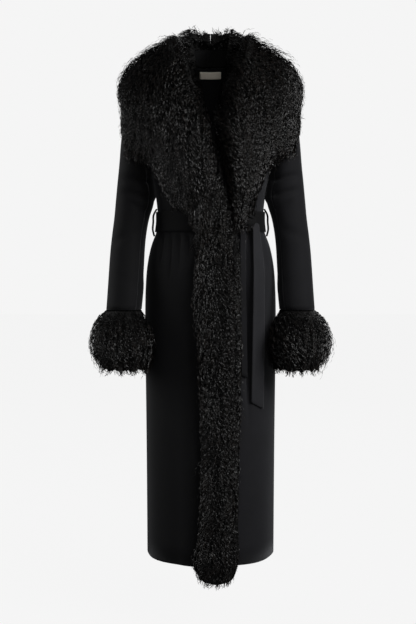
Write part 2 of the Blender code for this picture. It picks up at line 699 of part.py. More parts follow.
def make_cuff(name, side, material):
    """A fur cuff: a thick ring that flares from the sleeve's end and ends in pointed locks."""
    outside = []
    inside = []
    for index, ring in enumerate(cuff_rings):
        last = index == len(cuff_rings) - 1
        near = ring["near"] + (cuff_near_left if side > 0 and index > 0 else 0.0)
        centre_x = (ring["far"] + near) / 2.0
        half = (ring["far"] - near) / 2.0
        hole_z = cuff_top_z + (cuff_hole_end_z - cuff_top_z) * index / (len(cuff_rings) - 1)
        hole_y = cuff_rings[0]["y"] - cuff_lean * (cuff_top_z - hole_z)
        outer_row = []
        inner_row = []
        for s in range(cuff_sides):
            turn = 2.0 * math.pi * s / cuff_sides
            lock = 1.0 if s % 2 else -1.0
            swell = 1.0 + (0.0 if index == 0 else cuff_swell * lock)
            drop = cuff_fringe * 0.5 * (1.0 + lock) if last else 0.0
            x = centre_x + half * swell * math.cos(turn)
            y = ring["y"] - ring["depth"] * swell * math.sin(turn)
            hole_centre_x = (cuff_rings[0]["far"] + cuff_rings[0]["near"]) / 2.0
            centre = Vector((hole_centre_x, ring["y"], ring["z"]))
            point = clear_of_body(centre, Vector((x, y, ring["z"])), cuff_clearance)
            outer_row.append(Vector((side * point.x, point.y, point.z - drop)))
            hole_x = hole_centre_x + cuff_hole_half * math.cos(turn)
            inner_row.append(Vector((side * hole_x, hole_y - cuff_hole_depth * math.sin(turn), hole_z)))
        outside.append(outer_row)
        inside.append(inner_row)
    return make_shell(name, outside, inside, material, ring=True, flip=side < 0)


def neck_seam(turn):
    """A point of the back neck seam; turn 0 is the centre back."""
    x = neck_half * math.sin(turn)
    angle = angle_at_x(x, 1.0, True)
    return plain_point(angle, top_rise(x, True))


def make_stand(name, material):
    """The collar's stand, which rises from the back neck seam."""
    columns = 13
    rows = 3
    outside = []
    inside = []
    for r in range(rows):
        share = r / (rows - 1)
        outer_row = []
        inner_row = []
        for c in range(columns):
            turn = stand_turn * (2.0 * c / (columns - 1) - 1.0)
            foot = neck_seam(turn)
            out = Vector((math.sin(turn), math.cos(turn), 0.0))
            top = stand_top_z - stand_drop * (turn / stand_turn) ** 2
            z = foot.z + stand_foot + share * (top - foot.z)
            point = Vector((foot.x, foot.y, z)) + out * (stand_lean * share)
            outer_row.append(point)
            inner_row.append(point - out * wall)
        outside.append(outer_row)
        inside.append(inner_row)
    return make_shell(name, outside, inside, material, flip=True)


def cloth_tree(objects):
    """A search tree over the pieces that the fur lies on."""
    vertices = []
    polygons = []
    for obj in objects:
        start = len(vertices)
        vertices.extend(v.co.copy() for v in obj.data.vertices)
        polygons.extend([start + i for i in p.vertices] for p in obj.data.polygons)
    return BVHTree.FromPolygons(vertices, polygons)


def core_line(guide):
    """The point of the body's core that a guide is measured from, and the way out to it."""
    core = Vector((max(-core_half, min(core_half, guide.x * 0.9)), 0.0,
                   max(core_low_z, min(core_high_z, guide.z))))
    return core, (guide - core).normalized()


def lie_on(tree, guide):
    """Where a line from outside, aimed past the guide at the body's core, meets the cloth."""
    core, toward = core_line(guide)
    hit = tree.ray_cast(core + toward * ray_reach, -toward, ray_reach)[0]
    return hit, core, toward


def place_at(guide, height):
    """The point at this height above the core, on the guide's own line."""
    core, toward = core_line(guide)
    return core + toward * height


def rib_values(share):
    """All columns of the collar's table at this share of the way to the centre back."""
    place = share * (len(collar_ribs) - 1)
    index = min(int(place), len(collar_ribs) - 2)
    part = place - index
    low, high = collar_ribs[index], collar_ribs[index + 1]
    return {key: low[key] + part * (high[key] - low[key]) for key in low}


def pile_depth(rib, share):
    """Thickness of the fur at this share of the way from the rim to the outer edge."""
    stations = [
        {"share": 0.00, "pile": rib["near"] * 0.40},
        {"share": 0.12, "pile": rib["near"] * 0.88},
        {"share": 0.28, "pile": rib["near"]},
        {"share": 0.50, "pile": 0.82 * rib["near"] + 0.18 * rib["far"]},
        {"share": 0.64, "pile": 0.34 * rib["near"] + 0.66 * rib["far"]},
        {"share": 0.80, "pile": rib["far"]},
        {"share": 1.00, "pile": rib["edge"] * 0.6},
    ]
    return read_table(stations, "share", share, "pile")


def triangle_shares(down, across):
    """How much each corner of a split face counts at a place on it."""
    if across >= down:
        return {(0, 0): 1.0 - across, (0, 1): across - down, (1, 1): down}
    return {(0, 0): 1.0 - down, (1, 0): down - across, (1, 1): across}


def settle_heights(tree, guides, heights):
    """Raise a grid's points until the faces between them are clear of the cloth too."""
    steps = [i / settle_samples for i in range(settle_samples + 1)]
    places = [triangle_shares(down, across) for down in steps for across in steps]
    for _ in range(settle_rounds):
        for r in range(len(guides) - 1):
            for c in range(len(guides[0]) - 1):
                for shares in places:
                    spot = Vector()
                    for (i, j), share in shares.items():
                        spot += place_at(guides[r + i][c + j], heights[r + i][c + j]) * share
                    hit, core, toward = lie_on(tree, spot)
                    if hit is None:
                        continue
                    short = (hit - spot).dot(toward) + settle_gap
                    if short > 0.0:
                        for (i, j), share in shares.items():
                            heights[r + i][c + j] += short * share * settle_push


def make_collar(name, side, tree, material):
    """Half of the fur collar, from the belt up the front and round to the centre back."""
    guides = []
    heights = []
    thicknesses = []
    for r in range(collar_rib_count):
        rib = rib_values(r / (collar_rib_count - 1))
        ends = r in (0, collar_rib_count - 1)
        lock = 0.0 if ends else (1.0 if r % 2 else -1.0)
        rim_x = rib["rim_over"] if side < 0 else rib["rim_under"]
        edge_x = side * (rib["over_x"] if side < 0 else rib["under_x"])
        rim = Vector((rim_x, rib["rim_y"], rib["rim_z"]))
        edge = Vector((edge_x, rib["edge_y"], rib["edge_z"]))
        edge += (edge - rim).normalized() * (lock_tip * lock)
        guide_row = []
        height_row = []
        thick_row = []
        for c in range(collar_columns):
            share = c / (collar_columns - 1)
            guide = rim.lerp(edge, share)
            hit, core, toward = lie_on(tree, guide)
            free = hit is None or (c == 0 and rib["rim_z"] > free_rim_z)
            spot = guide if free else hit
            round_neck = smooth_step(1.0 - rib["rim_z"] / neck_lift_z)
            near_rim = neck_lift * max(0.0, 1.0 - share * 3.0) * round_neck
            height_row.append((spot - core).dot(toward) + (0.0 if free else collar_lift + near_rim))
            thick = pile_depth(rib, share)
            guide_row.append(guide)
            thick_row.append(thick * (1.0 + lock_ridge * lock))
        guides.append(guide_row)
        heights.append(height_row)
        thicknesses.append(thick_row)
    settle_heights(tree, guides, heights)
    under = [[place_at(g, h) for g, h in zip(*rows)] for rows in zip(guides, heights)]
    top = [[place_at(g, h + t) for g, h, t in zip(*rows)] for rows in zip(guides, heights, thicknesses)]
    return make_shell(name, top, under, material, flip=side < 0)


def make_band(name, material):
    """The fur band down the lapping front's edge, over the belt and past the hem."""
    under = []
    top = []
    top_z = band_sections[0]["z"]
    foot_z = band_sections[-1]["z"]
    for r in range(band_rows):
        z = top_z + (foot_z - top_z) * r / (band_rows - 1)
        level = z - underarm_z
        left = read_table(band_sections, "z", z, "left")
        right = read_table(band_sections, "z", z, "right")
        full = read_table(band_sections, "z", z, "thick")
        ragged = band_ragged * (1.0 if r % 2 else -1.0)
        on_belt = smooth_step((z - belt_bottom_z + 0.012) / 0.010)
        under_row = []
        top_row = []
        for c in range(band_columns):
            share = c / (band_columns - 1)
            x = left - ragged + share * (right + 0.4 * ragged - left + ragged)
            base = lap_lift + seam_gap + on_belt * (belt_thick + belt_clearance)
            arch = 0.30 + 0.70 * math.sin(math.pi * (0.10 + 0.80 * share)) ** 0.8
            angle = angle_at_x(x, level)
            strand = 1.0 + band_strand * math.sin(r * 2.4 + c * 1.7)
            under_row.append(body_point(angle, level, base + seat_gap))
            drop = Vector((0.0, 0.0, 0.0))
            if r == band_rows - 1:
                drop.z = -band_tip * math.sin(math.pi * share) - (band_ragged if c % 2 else 0.0)
            top_row.append(body_point(angle, level, base + full * arch * strand) + drop)
            under_row[-1] += drop
        under.append(under_row)
        top.append(top_row)
    return make_shell(name, top, under, material)


def belt_lift(x):
    """How far the belt stands off the body where it passes over the lap."""
    levels = [z - underarm_z for z in (belt_top_z, waist_z, belt_bottom_z)]
    rise = max(over_lift(x, level) for level in levels)
    return rise * (1.0 - smooth_step((x - belt_lift_end_x) / belt_lift_ramp))


def make_belt(name, material):
    """The belt's loop round the waist."""
    outside = []
    inside = []
    middle_z = (belt_top_z + belt_bottom_z) / 2.0
    for z in (belt_top_z, middle_z, belt_bottom_z):
        level = z - underarm_z
        outer_row = []
        inner_row = []
        for s in range(belt_steps):
            angle = 2.0 * math.pi * s / belt_steps
            x = plain_point(angle, level).x
            lift = seam_gap + seat_gap + (belt_lift(x) if math.cos(angle) > 0.0 else 0.0)
            outer_row.append(body_point(angle, level, lift + belt_thick))
            inner_row.append(body_point(angle, level, lift))
        outside.append(outer_row)
        inside.append(inner_row)
    return make_shell(name, outside, inside, material, ring=True, flip=True)


def make_end(name, stations, material):
    """A hanging end of the belt with a slanted foot."""
    columns = 4
    outside = []
    inside = []
    for r in range(end_rows):
        share = r / (end_rows - 1)
        row = {key: read_table(stations, "share", share, key) for key in stations[0]}
        outer_row = []
        inner_row = []
        for c in range(columns):
            across = c / (columns - 1)
            z = row["inner_z"] + across * (row["outer_z"] - row["inner_z"])
            x = row["inner"] + across * (row["outer"] - row["inner"])
            level = z - underarm_z
            on_belt = smooth_step((z - belt_bottom_z + end_off_belt) / belt_lift_ramp)
            lift = seam_gap + end_gap + on_belt * (belt_thick + belt_lift(x) + end_clearance)
            angle = angle_at_x(x, level)
            outer_row.append(body_point(angle, level, lift + belt_thick))
            inner_row.append(body_point(angle, level, lift))
        outside.append(outer_row)
        inside.append(inner_row)
    return make_shell(name, outside, inside, material)


def make_knot(name, material):
    """The belt's knot, a cushion of wrapped cloth with a slanting crossing."""
    rows = 9
    columns = 16
    level = waist_z - underarm_z
    angle = angle_at_x(knot_centre_x, level)
    seat = body_point(angle, level, lap_lift + belt_thick + belt_clearance + seam_gap)
    outward = (body_point(angle, level, 0.01) - body_point(angle, level, 0.0)).normalized()
    side = Vector((0.0, 0.0, 1.0)).cross(outward).normalized() * -1.0
    up = Vector((0.0, 0.0, 1.0))
    grid = []
    for r in range(rows):
        lean = math.pi * (r + 0.5) / rows
        row = []
        for c in range(columns):
            turn = 2.0 * math.pi * c / columns
            round_off = math.sin(lean) ** knot_round
            wide = math.copysign(abs(math.cos(turn)) ** knot_square, math.cos(turn)) * round_off
            tall = math.copysign(abs(math.sin(turn)) ** knot_square, math.sin(turn)) * round_off
            deep = 0.5 - 0.5 * math.cos(lean)
            ridge = 1.0 + knot_ridge * math.cos(2.0 * turn + knot_slant) * math.sin(lean)
            row.append(seat + side * (knot_half_x * wide * ridge) + up * (knot_half_z * tall * ridge)
                       + outward * (knot_depth * deep))
        grid.append(row)
    vertices = [p for row in grid for p in row]
    faces = []
    for r in range(rows - 1):
        for c in range(columns):
            d = (c + 1) % columns
            faces.append([r * columns + c, r * columns + d, (r + 1) * columns + d, (r + 1) * columns + c])
    faces.append([c for c in reversed(range(columns))])
    faces.append([(rows - 1) * columns + c for c in range(columns)])
    return link_object(name, vertices, faces, material)


def make_loop(name, side, material):
    """A narrow belt loop that stands off the side seam round the belt."""
    steps = 9
    outside = []
    inside = []
    for s in range(steps):
        share = s / (steps - 1)
        z = loop_top_z + share * (loop_bottom_z - loop_top_z)
        half = body_size(z - underarm_z)[0]
        bow = smooth_step(min(share, 1.0 - share) / loop_bow)
        reach = half + seam_gap + end_gap + bow * loop_stand
        outer_row = []
        inner_row = []
        for y in (-loop_half_width, loop_half_width):
            outer_row.append(Vector((side * (reach + loop_thick), y, z)))
            inner_row.append(Vector((side * reach, y, z)))
        outside.append(outer_row)
        inside.append(inner_row)
    return make_shell(name, outside, inside, material, flip=side < 0)


def make_label(name, material):
    """The bare label sewn inside the back, just under the neck seam."""
    columns = 5
    outside = []
    inside = []
    for z in (label_top_z, label_bottom_z):
        outer_row = []
        inner_row = []
        for c in range(columns):
            x = label_half * (2.0 * c / (columns - 1) - 1.0)
            rise = (z - underarm_z) / (shoulder_line(x) - underarm_z)
            angle = angle_at_x(x, rise, True)
            outer_row.append(body_point(angle, rise, -wall - seat_gap))
            inner_row.append(body_point(angle, rise, -wall - seat_gap - label_thick))
        outside.append(outer_row)
        inside.append(inner_row)
    return make_shell(name, outside, inside, material)


def point_faces_out(objects):
    """Turn any piece whose faces point inward."""
    for obj in objects:
        mesh = obj.data
        volume = 0.0
        for polygon in mesh.polygons:
            corners = [mesh.vertices[i].co for i in polygon.vertices]
            for i in range(1, len(corners) - 1):
                volume += corners[0].dot(corners[i].cross(corners[i + 1]))
        if volume < 0.0:
            mesh.flip_normals()


def build_coat():
    """Make every piece of the coat."""
    for obj in list(bpy.data.objects):
        bpy.data.objects.remove(obj, do_unlink=True)
    wool = make_material("wool_cloth", "1a1a1b", 0.85)
    fur = make_material("curly_fur", "171513", 0.80)
    tape = make_material("label_tape", "b7a58f", 0.75)

    back = make_back("back", wool)
    front_over = make_front("front_right", -1, wool)
    front_under = make_front("front_left", 1, wool)
    sleeves = [
        make_sleeve("sleeve_right_top", -1, "top", wool),
        make_sleeve("sleeve_right_under", -1, "under", wool),
        make_sleeve("sleeve_left_top", 1, "top", wool),
        make_sleeve("sleeve_left_under", 1, "under", wool),
    ]
    stand = make_stand("collar_stand", wool)
    tree = cloth_tree([back, front_over, front_under, stand] + sleeves)
    pieces = [back, front_over, front_under, stand] + sleeves
    pieces.append(make_collar("fur_collar_right", -1, tree, fur))
    pieces.append(make_collar("fur_collar_left", 1, tree, fur))
    pieces.append(make_band("fur_front_band", fur))
    pieces.append(make_cuff("fur_cuff_right", -1, fur))
    pieces.append(make_cuff("fur_cuff_left", 1, fur))
    pieces.append(make_belt("belt_band", wool))
    pieces.append(make_end("belt_end_wide", wide_end, wool))
    pieces.append(make_end("belt_end_narrow", narrow_end, wool))
    pieces.append(make_knot("belt_knot", wool))
    pieces.append(make_loop("belt_loop_right", -1, wool))
    pieces.append(make_loop("belt_loop_left", 1, wool))
    pieces.append(make_label("neck_label", tape))
    point_faces_out(pieces)


build_coat()
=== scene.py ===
# Long wrap coat in black wool, filled out as if worn, with curly fur on collar, front edge and cuffs.
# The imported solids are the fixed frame. Cloth and fur pieces here are made on those solids.
import math

import bmesh
import bpy
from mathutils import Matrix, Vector, noise
from mathutils.bvhtree import BVHTree


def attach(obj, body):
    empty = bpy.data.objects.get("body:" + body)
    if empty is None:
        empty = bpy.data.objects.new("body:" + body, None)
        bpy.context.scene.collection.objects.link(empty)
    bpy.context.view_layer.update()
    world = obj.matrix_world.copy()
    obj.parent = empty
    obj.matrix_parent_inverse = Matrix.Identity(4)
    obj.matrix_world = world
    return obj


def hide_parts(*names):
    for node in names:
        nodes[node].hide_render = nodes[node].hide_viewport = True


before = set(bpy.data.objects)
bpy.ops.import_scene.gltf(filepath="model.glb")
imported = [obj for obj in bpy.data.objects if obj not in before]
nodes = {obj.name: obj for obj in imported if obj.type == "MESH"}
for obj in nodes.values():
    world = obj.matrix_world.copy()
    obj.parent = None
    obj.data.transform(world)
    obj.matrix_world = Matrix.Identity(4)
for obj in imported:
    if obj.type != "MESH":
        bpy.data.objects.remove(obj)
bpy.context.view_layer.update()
print("frame:", len(nodes), "nodes")


def toLinear(hexColour):
    # sRGB hex to the linear colour that the shaders use
    channels = [int(hexColour[i:i + 2], 16) / 255 for i in (1, 3, 5)]
    return tuple(c / 12.92 if c <= 0.04045 else ((c + 0.055) / 1.055) ** 2.4 for c in channels) + (1.0,)


def addNode(tree, kind, settings=None, inputs=None):
    # One node with its settings; an input takes a value, a socket or a node's first live output
    node = tree.nodes.new(kind)
    for name, value in (settings or {}).items():
        setattr(node, name, value)
    for key, value in (inputs or {}).items():
        if isinstance(value, bpy.types.Node):
            value = next(s for s in value.outputs if s.enabled)
        if isinstance(value, bpy.types.NodeSocket):
            tree.links.new(value, node.inputs[key])
        else:
            node.inputs[key].default_value = value
    return node


def smooth(value):
    value = min(1.0, max(0.0, value))
    return value * value * (3.0 - 2.0 * value)


def newMaterial(name):
    # A node material with its own shader and output
    material = bpy.data.materials.new(name)
    material.use_nodes = True
    tree = material.node_tree
    shader = next(n for n in tree.nodes if n.type == "BSDF_PRINCIPLED")
    return material, tree, shader


# Camera

cameraPlace = {
    "location": (-0.0063, -2.5, -0.4749),
    "pitch": math.radians(90.0 - 3.6),  # looks a little down at the coat
    "lens": 56.35,
    "filmHeight": 36.0,
}
cameraData = bpy.data.cameras.new("studioCamera")
cameraData.sensor_fit = "VERTICAL"
cameraData.sensor_height = cameraPlace["filmHeight"]
cameraData.lens = cameraPlace["lens"]
camera = bpy.data.objects.new("studioCamera", cameraData)
camera.location = cameraPlace["location"]
camera.rotation_euler = (cameraPlace["pitch"], 0.0, 0.0)
bpy.context.scene.collection.objects.link(camera)
bpy.context.scene.camera = camera
print("camera set")


# Materials

woolLook = {
    "colour": "#0f0f10",
    "worn": "#17171a",
    "sheen": 0.10,
    "napLength": 0.0045,  # brushed nap runs down the cloth in strokes about 4 mm long
    "napWidth": 0.0011,  # real hairs are 0.02 mm thick, too fine to show, so strokes are drawn 1.1 mm wide
    "napHeight": 0.00025,
}


def makeWool(name, colour, worn, sheen):
    # Double faced wool, milled and brushed: dull black with a soft bloom at grazing angles
    material, tree, shader = newMaterial(name)
    place = addNode(tree, "ShaderNodeTexCoord").outputs["Object"]
    strokes = addNode(tree, "ShaderNodeMapping", None, {
        "Vector": place,
        "Scale": (1.0 / woolLook["napWidth"], 1.0 / woolLook["napWidth"], 1.0 / woolLook["napLength"])})
    nap = addNode(tree, "ShaderNodeTexNoise", None, {
        "Vector": strokes, "Scale": 1.0, "Detail": 3.0, "Roughness": 0.6})
    cloudy = addNode(tree, "ShaderNodeTexNoise", None, {
        "Vector": place, "Scale": 16.0, "Detail": 3.0, "Roughness": 0.55})
    blend = addNode(tree, "ShaderNodeMath", {"operation": "MULTIPLY_ADD"}, {
        0: nap.outputs["Fac"], 1: 0.45, 2: -0.12})
    mixed = addNode(tree, "ShaderNodeMath", {"operation": "MULTIPLY_ADD", "use_clamp": True}, {
        0: cloudy.outputs["Fac"], 1: 0.9, 2: blend})
    tint = addNode(tree, "ShaderNodeMix", {"data_type": "RGBA"}, {
        0: mixed, 6: toLinear(colour), 7: toLinear(worn)})
    tree.links.new(tint.outputs[2], shader.inputs["Base Color"])
    bump = addNode(tree, "ShaderNodeBump", None, {
        "Height": nap.outputs["Fac"], "Distance": woolLook["napHeight"], "Strength": 0.7})
    tree.links.new(bump.outputs["Normal"], shader.inputs["Normal"])
    shader.inputs["Roughness"].default_value = 0.82
    shader.inputs["IOR"].default_value = 1.45
    shader.inputs["Specular IOR Level"].default_value = 0.16
    shader.inputs["Sheen Weight"].default_value = sheen
    shader.inputs["Sheen Roughness"].default_value = 0.45
    shader.inputs["Sheen Tint"].default_value = (0.75, 0.77, 0.80, 1.0)
    return material


brushedWool = makeWool("brushedWool", woolLook["colour"], woolLook["worn"], woolLook["sheen"])
# The right front and sleeve take a darker copy of the wool, painted shade, and the left front a lighter
# copy, painted light: one cloth shaded and lit by its colour where the side light falls less or more
paintedShadeWool = makeWool("paintedShadeWool", "#09090a", "#0e0e10", 0.13)
paintedLightWool = makeWool("paintedLightWool", "#161618", "#1f1f22", 0.16)
# The belt is the same cloth: stand, belt and knot get a darker copy, painted shade; the wide end a lighter
# one, painted light
paintedShadeBeltWool = makeWool("paintedShadeBeltWool", "#070708", "#0d0d0e", 0.04)
paintedLightTailWool = makeWool("paintedLightTailWool", "#1a1a1c", "#28282b", 0.20)

furLook = {
    "root": "#020202",
    "hair": "#090808",
    "tip": "#18130f",
    "roughness": 0.40,
    "gloss": 0.24,
}


def makeLambFur(name):
    # Long curly lamb hair dyed black: glossy along each hair, tips faded a little brown
    material, tree, shader = newMaterial(name)
    along = addNode(tree, "ShaderNodeAttribute", {"attribute_name": "alongHair"})
    tone = addNode(tree, "ShaderNodeAttribute", {"attribute_name": "hairTone"})
    ramp = addNode(tree, "ShaderNodeValToRGB", None, {"Fac": along.outputs["Fac"]})
    ramp.color_ramp.elements[0].color = toLinear(furLook["root"])
    ramp.color_ramp.elements[1].color = toLinear(furLook["tip"])
    ramp.color_ramp.elements[1].position = 1.0
    ramp.color_ramp.elements.new(0.55).color = toLinear(furLook["hair"])
    dim = addNode(tree, "ShaderNodeMapRange", None, {
        "Value": tone.outputs["Fac"], "From Min": 0.2, "From Max": 0.9, "To Min": 0.15, "To Max": 1.9})
    shade = addNode(tree, "ShaderNodeVectorMath", {"operation": "SCALE"}, {
        0: ramp.outputs["Color"], "Scale": dim.outputs["Result"]})
    tree.links.new(shade.outputs["Vector"], shader.inputs["Base Color"])
    shader.inputs["Roughness"].default_value = furLook["roughness"]
    shader.inputs["IOR"].default_value = 1.55
    shader.inputs["Specular IOR Level"].default_value = furLook["gloss"]
    return material


def makePelt(name):
    # Tangled hair close to the skin, under the locks: matt black with curled ridges 4 mm apart
    material, tree, shader = newMaterial(name)
    place = addNode(tree, "ShaderNodeTexCoord").outputs["Object"]
    drift = addNode(tree, "ShaderNodeTexNoise", None, {"Vector": place, "Scale": 30.0, "Detail": 2.0})
    bent = addNode(tree, "ShaderNodeVectorMath", {"operation": "MULTIPLY_ADD"}, {
        0: drift.outputs["Color"], 1: (0.03, 0.03, 0.03), 2: place})
    curls = addNode(tree, "ShaderNodeTexWave", {"wave_type": "BANDS", "bands_direction": "DIAGONAL"}, {
        "Vector": bent, "Scale": 40.0, "Distortion": 9.0, "Detail": 2.0, "Detail Scale": 1.4})
    tint = addNode(tree, "ShaderNodeMix", {"data_type": "RGBA"}, {
        0: curls.outputs["Fac"], 6: toLinear("#020202"), 7: toLinear("#0b0a09")})
    tree.links.new(tint.outputs[2], shader.inputs["Base Color"])
    bump = addNode(tree, "ShaderNodeBump", None, {
        "Height": curls.outputs["Fac"], "Distance": 0.003, "Strength": 0.9})
    tree.links.new(bump.outputs["Normal"], shader.inputs["Normal"])
    shader.inputs["Roughness"].default_value = 0.7
    shader.inputs["Specular IOR Level"].default_value = 0.2
    return material


def makeTape(name):
    # Satin woven tape: fine ribs 0.8 mm apart with a low sheen
    material, tree, shader = newMaterial(name)
    place = addNode(tree, "ShaderNodeTexCoord").outputs["Object"]
    ribs = addNode(tree, "ShaderNodeTexWave", {"wave_type": "BANDS", "bands_direction": "X"}, {
        "Vector": place, "Scale": 200.0, "Distortion": 0.4, "Detail": 1.0})
    patchy = addNode(tree, "ShaderNodeTexNoise", None, {"Vector": place, "Scale": 120.0, "Detail": 2.0})
    both = addNode(tree, "ShaderNodeMath", {"operation": "MULTIPLY_ADD", "use_clamp": True}, {
        0: ribs.outputs["Fac"], 1: 0.35, 2: patchy.outputs["Fac"]})
    tint = addNode(tree, "ShaderNodeMix", {"data_type": "RGBA"}, {
        0: both, 6: toLinear("#f0e5d2"), 7: toLinear("#fdf5e6")})
    tree.links.new(tint.outputs[2], shader.inputs["Base Color"])
    bump = addNode(tree, "ShaderNodeBump", None, {
        "Height": ribs.outputs["Fac"], "Distance": 0.0002, "Strength": 0.5})
    tree.links.new(bump.outputs["Normal"], shader.inputs["Normal"])
    shader.inputs["Roughness"].default_value = 0.5
    shader.inputs["Sheen Weight"].default_value = 0.1
    return material


lambFur = makeLambFur("lambFur")
furPelt = makePelt("furPelt")
satinTape = makeTape("satinTape")
print("materials made")


# Cloth: each panel starts from its solid, is made finer, and gets its listed creases

def mergedCopy(nodeName):
    # Points and faces of a CAD node, joined up and turned back to quads
    shape = bmesh.new()
    shape.from_mesh(nodes[nodeName].data)
    bmesh.ops.remove_doubles(shape, verts=shape.verts, dist=0.00002)
    bmesh.ops.join_triangles(
        shape, faces=shape.faces, angle_face_threshold=math.radians(40.0),
        angle_shape_threshold=math.radians(80.0))
    shape.verts.index_update()
    points = [v.co.copy() for v in shape.verts]
    faces = [[v.index for v in f.verts] for f in shape.faces]
    shape.free()
    return points, faces


def finerMesh(name, points, faces, levels, edgeCrease, middleCrease=0.0):
    # Subdivide with the walls' own edges held, those at the coat's middle too, and bake the result
    mesh = bpy.data.meshes.new(name)
    mesh.from_pydata(points, [], faces)
    shape = bmesh.new()
    shape.from_mesh(mesh)
    crease = shape.edges.layers.float.new("crease_edge")
    for edge in shape.edges:
        if len(edge.link_faces) == 2 and edge.calc_face_angle() > math.radians(50.0):
            edge[crease] = edgeCrease
            if middleCrease and all(abs(v.co.x) < 0.002 for v in edge.verts):
                edge[crease] = middleCrease
    shape.to_mesh(mesh)
    shape.free()
    piece = bpy.data.objects.new(name, mesh)
    bpy.context.scene.collection.objects.link(piece)
    finer = piece.modifiers.new("finer", "SUBSURF")
    finer.levels = levels
    finer.render_levels = levels
    baked = bpy.data.meshes.new_from_object(piece.evaluated_get(bpy.context.evaluated_depsgraph_get()))
    piece.modifiers.clear()
    piece.data = baked
    baked.name = name
    baked.shade_smooth()
    return piece


def finishPiece(piece, material, slot, *replaced):
    piece.data.materials.clear()
    piece.data.materials.append(material)
    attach(piece, "root")
    if replaced:
        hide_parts(*replaced)
    return piece


def troughDepth(folds, place, height):
    # How far soft troughs, each along a line from one place to another, dent the cloth here
    total = 0.0
    for fold in folds:
        (startX, startZ), (endX, endZ) = fold["start"], fold["end"]
        lineX, lineZ = endX - startX, endZ - startZ
        length = math.hypot(lineX, lineZ)
        along = ((place - startX) * lineX + (height - startZ) * lineZ) / (length * length)
        off = abs((place - startX) * lineZ - (height - startZ) * lineX) / length
        if off > fold["width"] * 3.0 or along < -0.3 or along > 1.3:
            continue
        ends = smooth((along + 0.12) / 0.3) * smooth((1.12 - along) / 0.5)
        total += fold["depth"] * ends * math.exp(-(off / fold["width"]) ** 2)
    return total


def bodyCreases(point):
    # Panels are dented toward the middle of the body, front and back with their own creases
    folds = coatCreases["front"] if point.y < 0.0 else coatCreases["back"]
    depth = troughDepth(folds, point.x, point.z)
    skirt = smooth((coatCreases["waveTop"] - point.z) / coatCreases["waveGrowth"])
    turn = math.atan2(point.x, -point.y)
    waves = 0.5 + 0.5 * math.sin(turn * coatCreases["waveCount"] + 1.3 + 1.6 * point.z)
    waves *= smooth(abs(point.y) / coatCreases["sideCalm"])
    depth += coatCreases["waveDepth"] * skirt * waves
    aim = Vector((point.x, point.y, 0.0))
    return point - aim.normalized() * depth


coatCreases = {
    "waveCount": 7.0,
    "waveDepth": 0.0030,
    "waveTop": -0.52,
    "waveGrowth": 0.25,
    "sideCalm": 0.07,  # the waves die out toward the side seams
    "front": [
        {"start": (-0.118, -0.432), "end": (-0.128, -0.520), "width": 0.0060, "depth": 0.0040},
        {"start": (-0.098, -0.432), "end": (-0.104, -0.560), "width": 0.0055, "depth": 0.0050},
        {"start": (-0.076, -0.432), "end": (-0.080, -0.530), "width": 0.0055, "depth": 0.0046},
        {"start": (-0.055, -0.432), "end": (-0.052, -0.500), "width": 0.0060, "depth": 0.0035},
        {"start": (0.130, -0.434), "end": (0.140, -0.530), "width": 0.0060, "depth": 0.0035},
        {"start": (0.0950, -0.415), "end": (0.0938, -0.870), "width": 0.0056, "depth": 0.0150},
        {"start": (-0.060, -0.560), "end": (-0.050, -0.950), "width": 0.0200, "depth": 0.0030},
        {"start": (-0.125, -0.330), "end": (-0.070, -0.362), "width": 0.0060, "depth": 0.0022},
        {"start": (0.132, -0.335), "end": (0.100, -0.362), "width": 0.0055, "depth": 0.0022},
    ],
    "back": [
        {"start": (-0.110, -0.432), "end": (-0.122, -0.540), "width": 0.0060, "depth": 0.0045},
        {"start": (-0.070, -0.432), "end": (-0.076, -0.570), "width": 0.0060, "depth": 0.0052},
        {"start": (-0.028, -0.432), "end": (-0.024, -0.520), "width": 0.0055, "depth": 0.0040},
        {"start": (0.018, -0.432), "end": (0.022, -0.560), "width": 0.0060, "depth": 0.0050},
        {"start": (0.062, -0.432), "end": (0.070, -0.530), "width": 0.0055, "depth": 0.0045},
        {"start": (0.104, -0.432), "end": (0.118, -0.560), "width": 0.0060, "depth": 0.0046},
        {"start": (-0.100, -0.320), "end": (-0.040, -0.366), "width": 0.0070, "depth": 0.0030},
        {"start": (0.110, -0.325), "end": (0.050, -0.364), "width": 0.0070, "depth": 0.0030},
        {"start": (-0.040, -0.345), "end": (0.030, -0.366), "width": 0.0060, "depth": 0.0022},
        {"start": (0.000, -0.640), "end": (0.012, -1.180), "width": 0.0220, "depth": 0.0040},
    ],
}

# Each cut is flat, in metres: the width and length of cloth that it takes, and its own area
panelCuts = {
    "backPanel": {"node": "back", "material": brushedWool, "flat": (0.52, 1.32), "area": 0.565},
    # The right front takes the darker wool copy, painted shade; the left front takes the lighter copy,
    # painted light
    "rightFront": {"node": "front_right", "material": paintedShadeWool, "flat": (0.34, 1.32), "area": 0.345},
    "leftFront": {"node": "front_left", "material": paintedLightWool, "flat": (0.32, 1.32), "area": 0.320},
}
bodySolids = {cut["node"]: mergedCopy(cut["node"]) for cut in panelCuts.values()}
bodyTrees = {node: BVHTree.FromPolygons(*solid) for node, solid in bodySolids.items()}
sideSeam = {"nearestX": 0.09, "farthestY": 0.04, "facing": 0.4, "widestGap": 0.003}


def sewShut(point, normal, node):
    # Side seams are a little apart in the solids: here both edges move to the seam's middle
    bySeam = abs(point.x) >= sideSeam["nearestX"] and abs(point.y) <= sideSeam["farthestY"]
    if not bySeam or abs(normal.y) < sideSeam["facing"]:
        return point
    for other, tree in bodyTrees.items():
        hit, _, _, gap = tree.find_nearest(point)
        if other != node and gap < sideSeam["widestGap"]:
            return point.lerp(hit, 0.5)
    return point


panels = []
for name, cut in panelCuts.items():
    panel = finerMesh(name, *bodySolids[cut["node"]], 2, 1.0)
    for vertex in panel.data.vertices:
        vertex.co = bodyCreases(sewShut(vertex.co.copy(), vertex.normal, cut["node"]))
    finishPiece(panel, cut["material"], "wool_cloth", cut["node"])
    panels.append(panel)
print("body panels made")

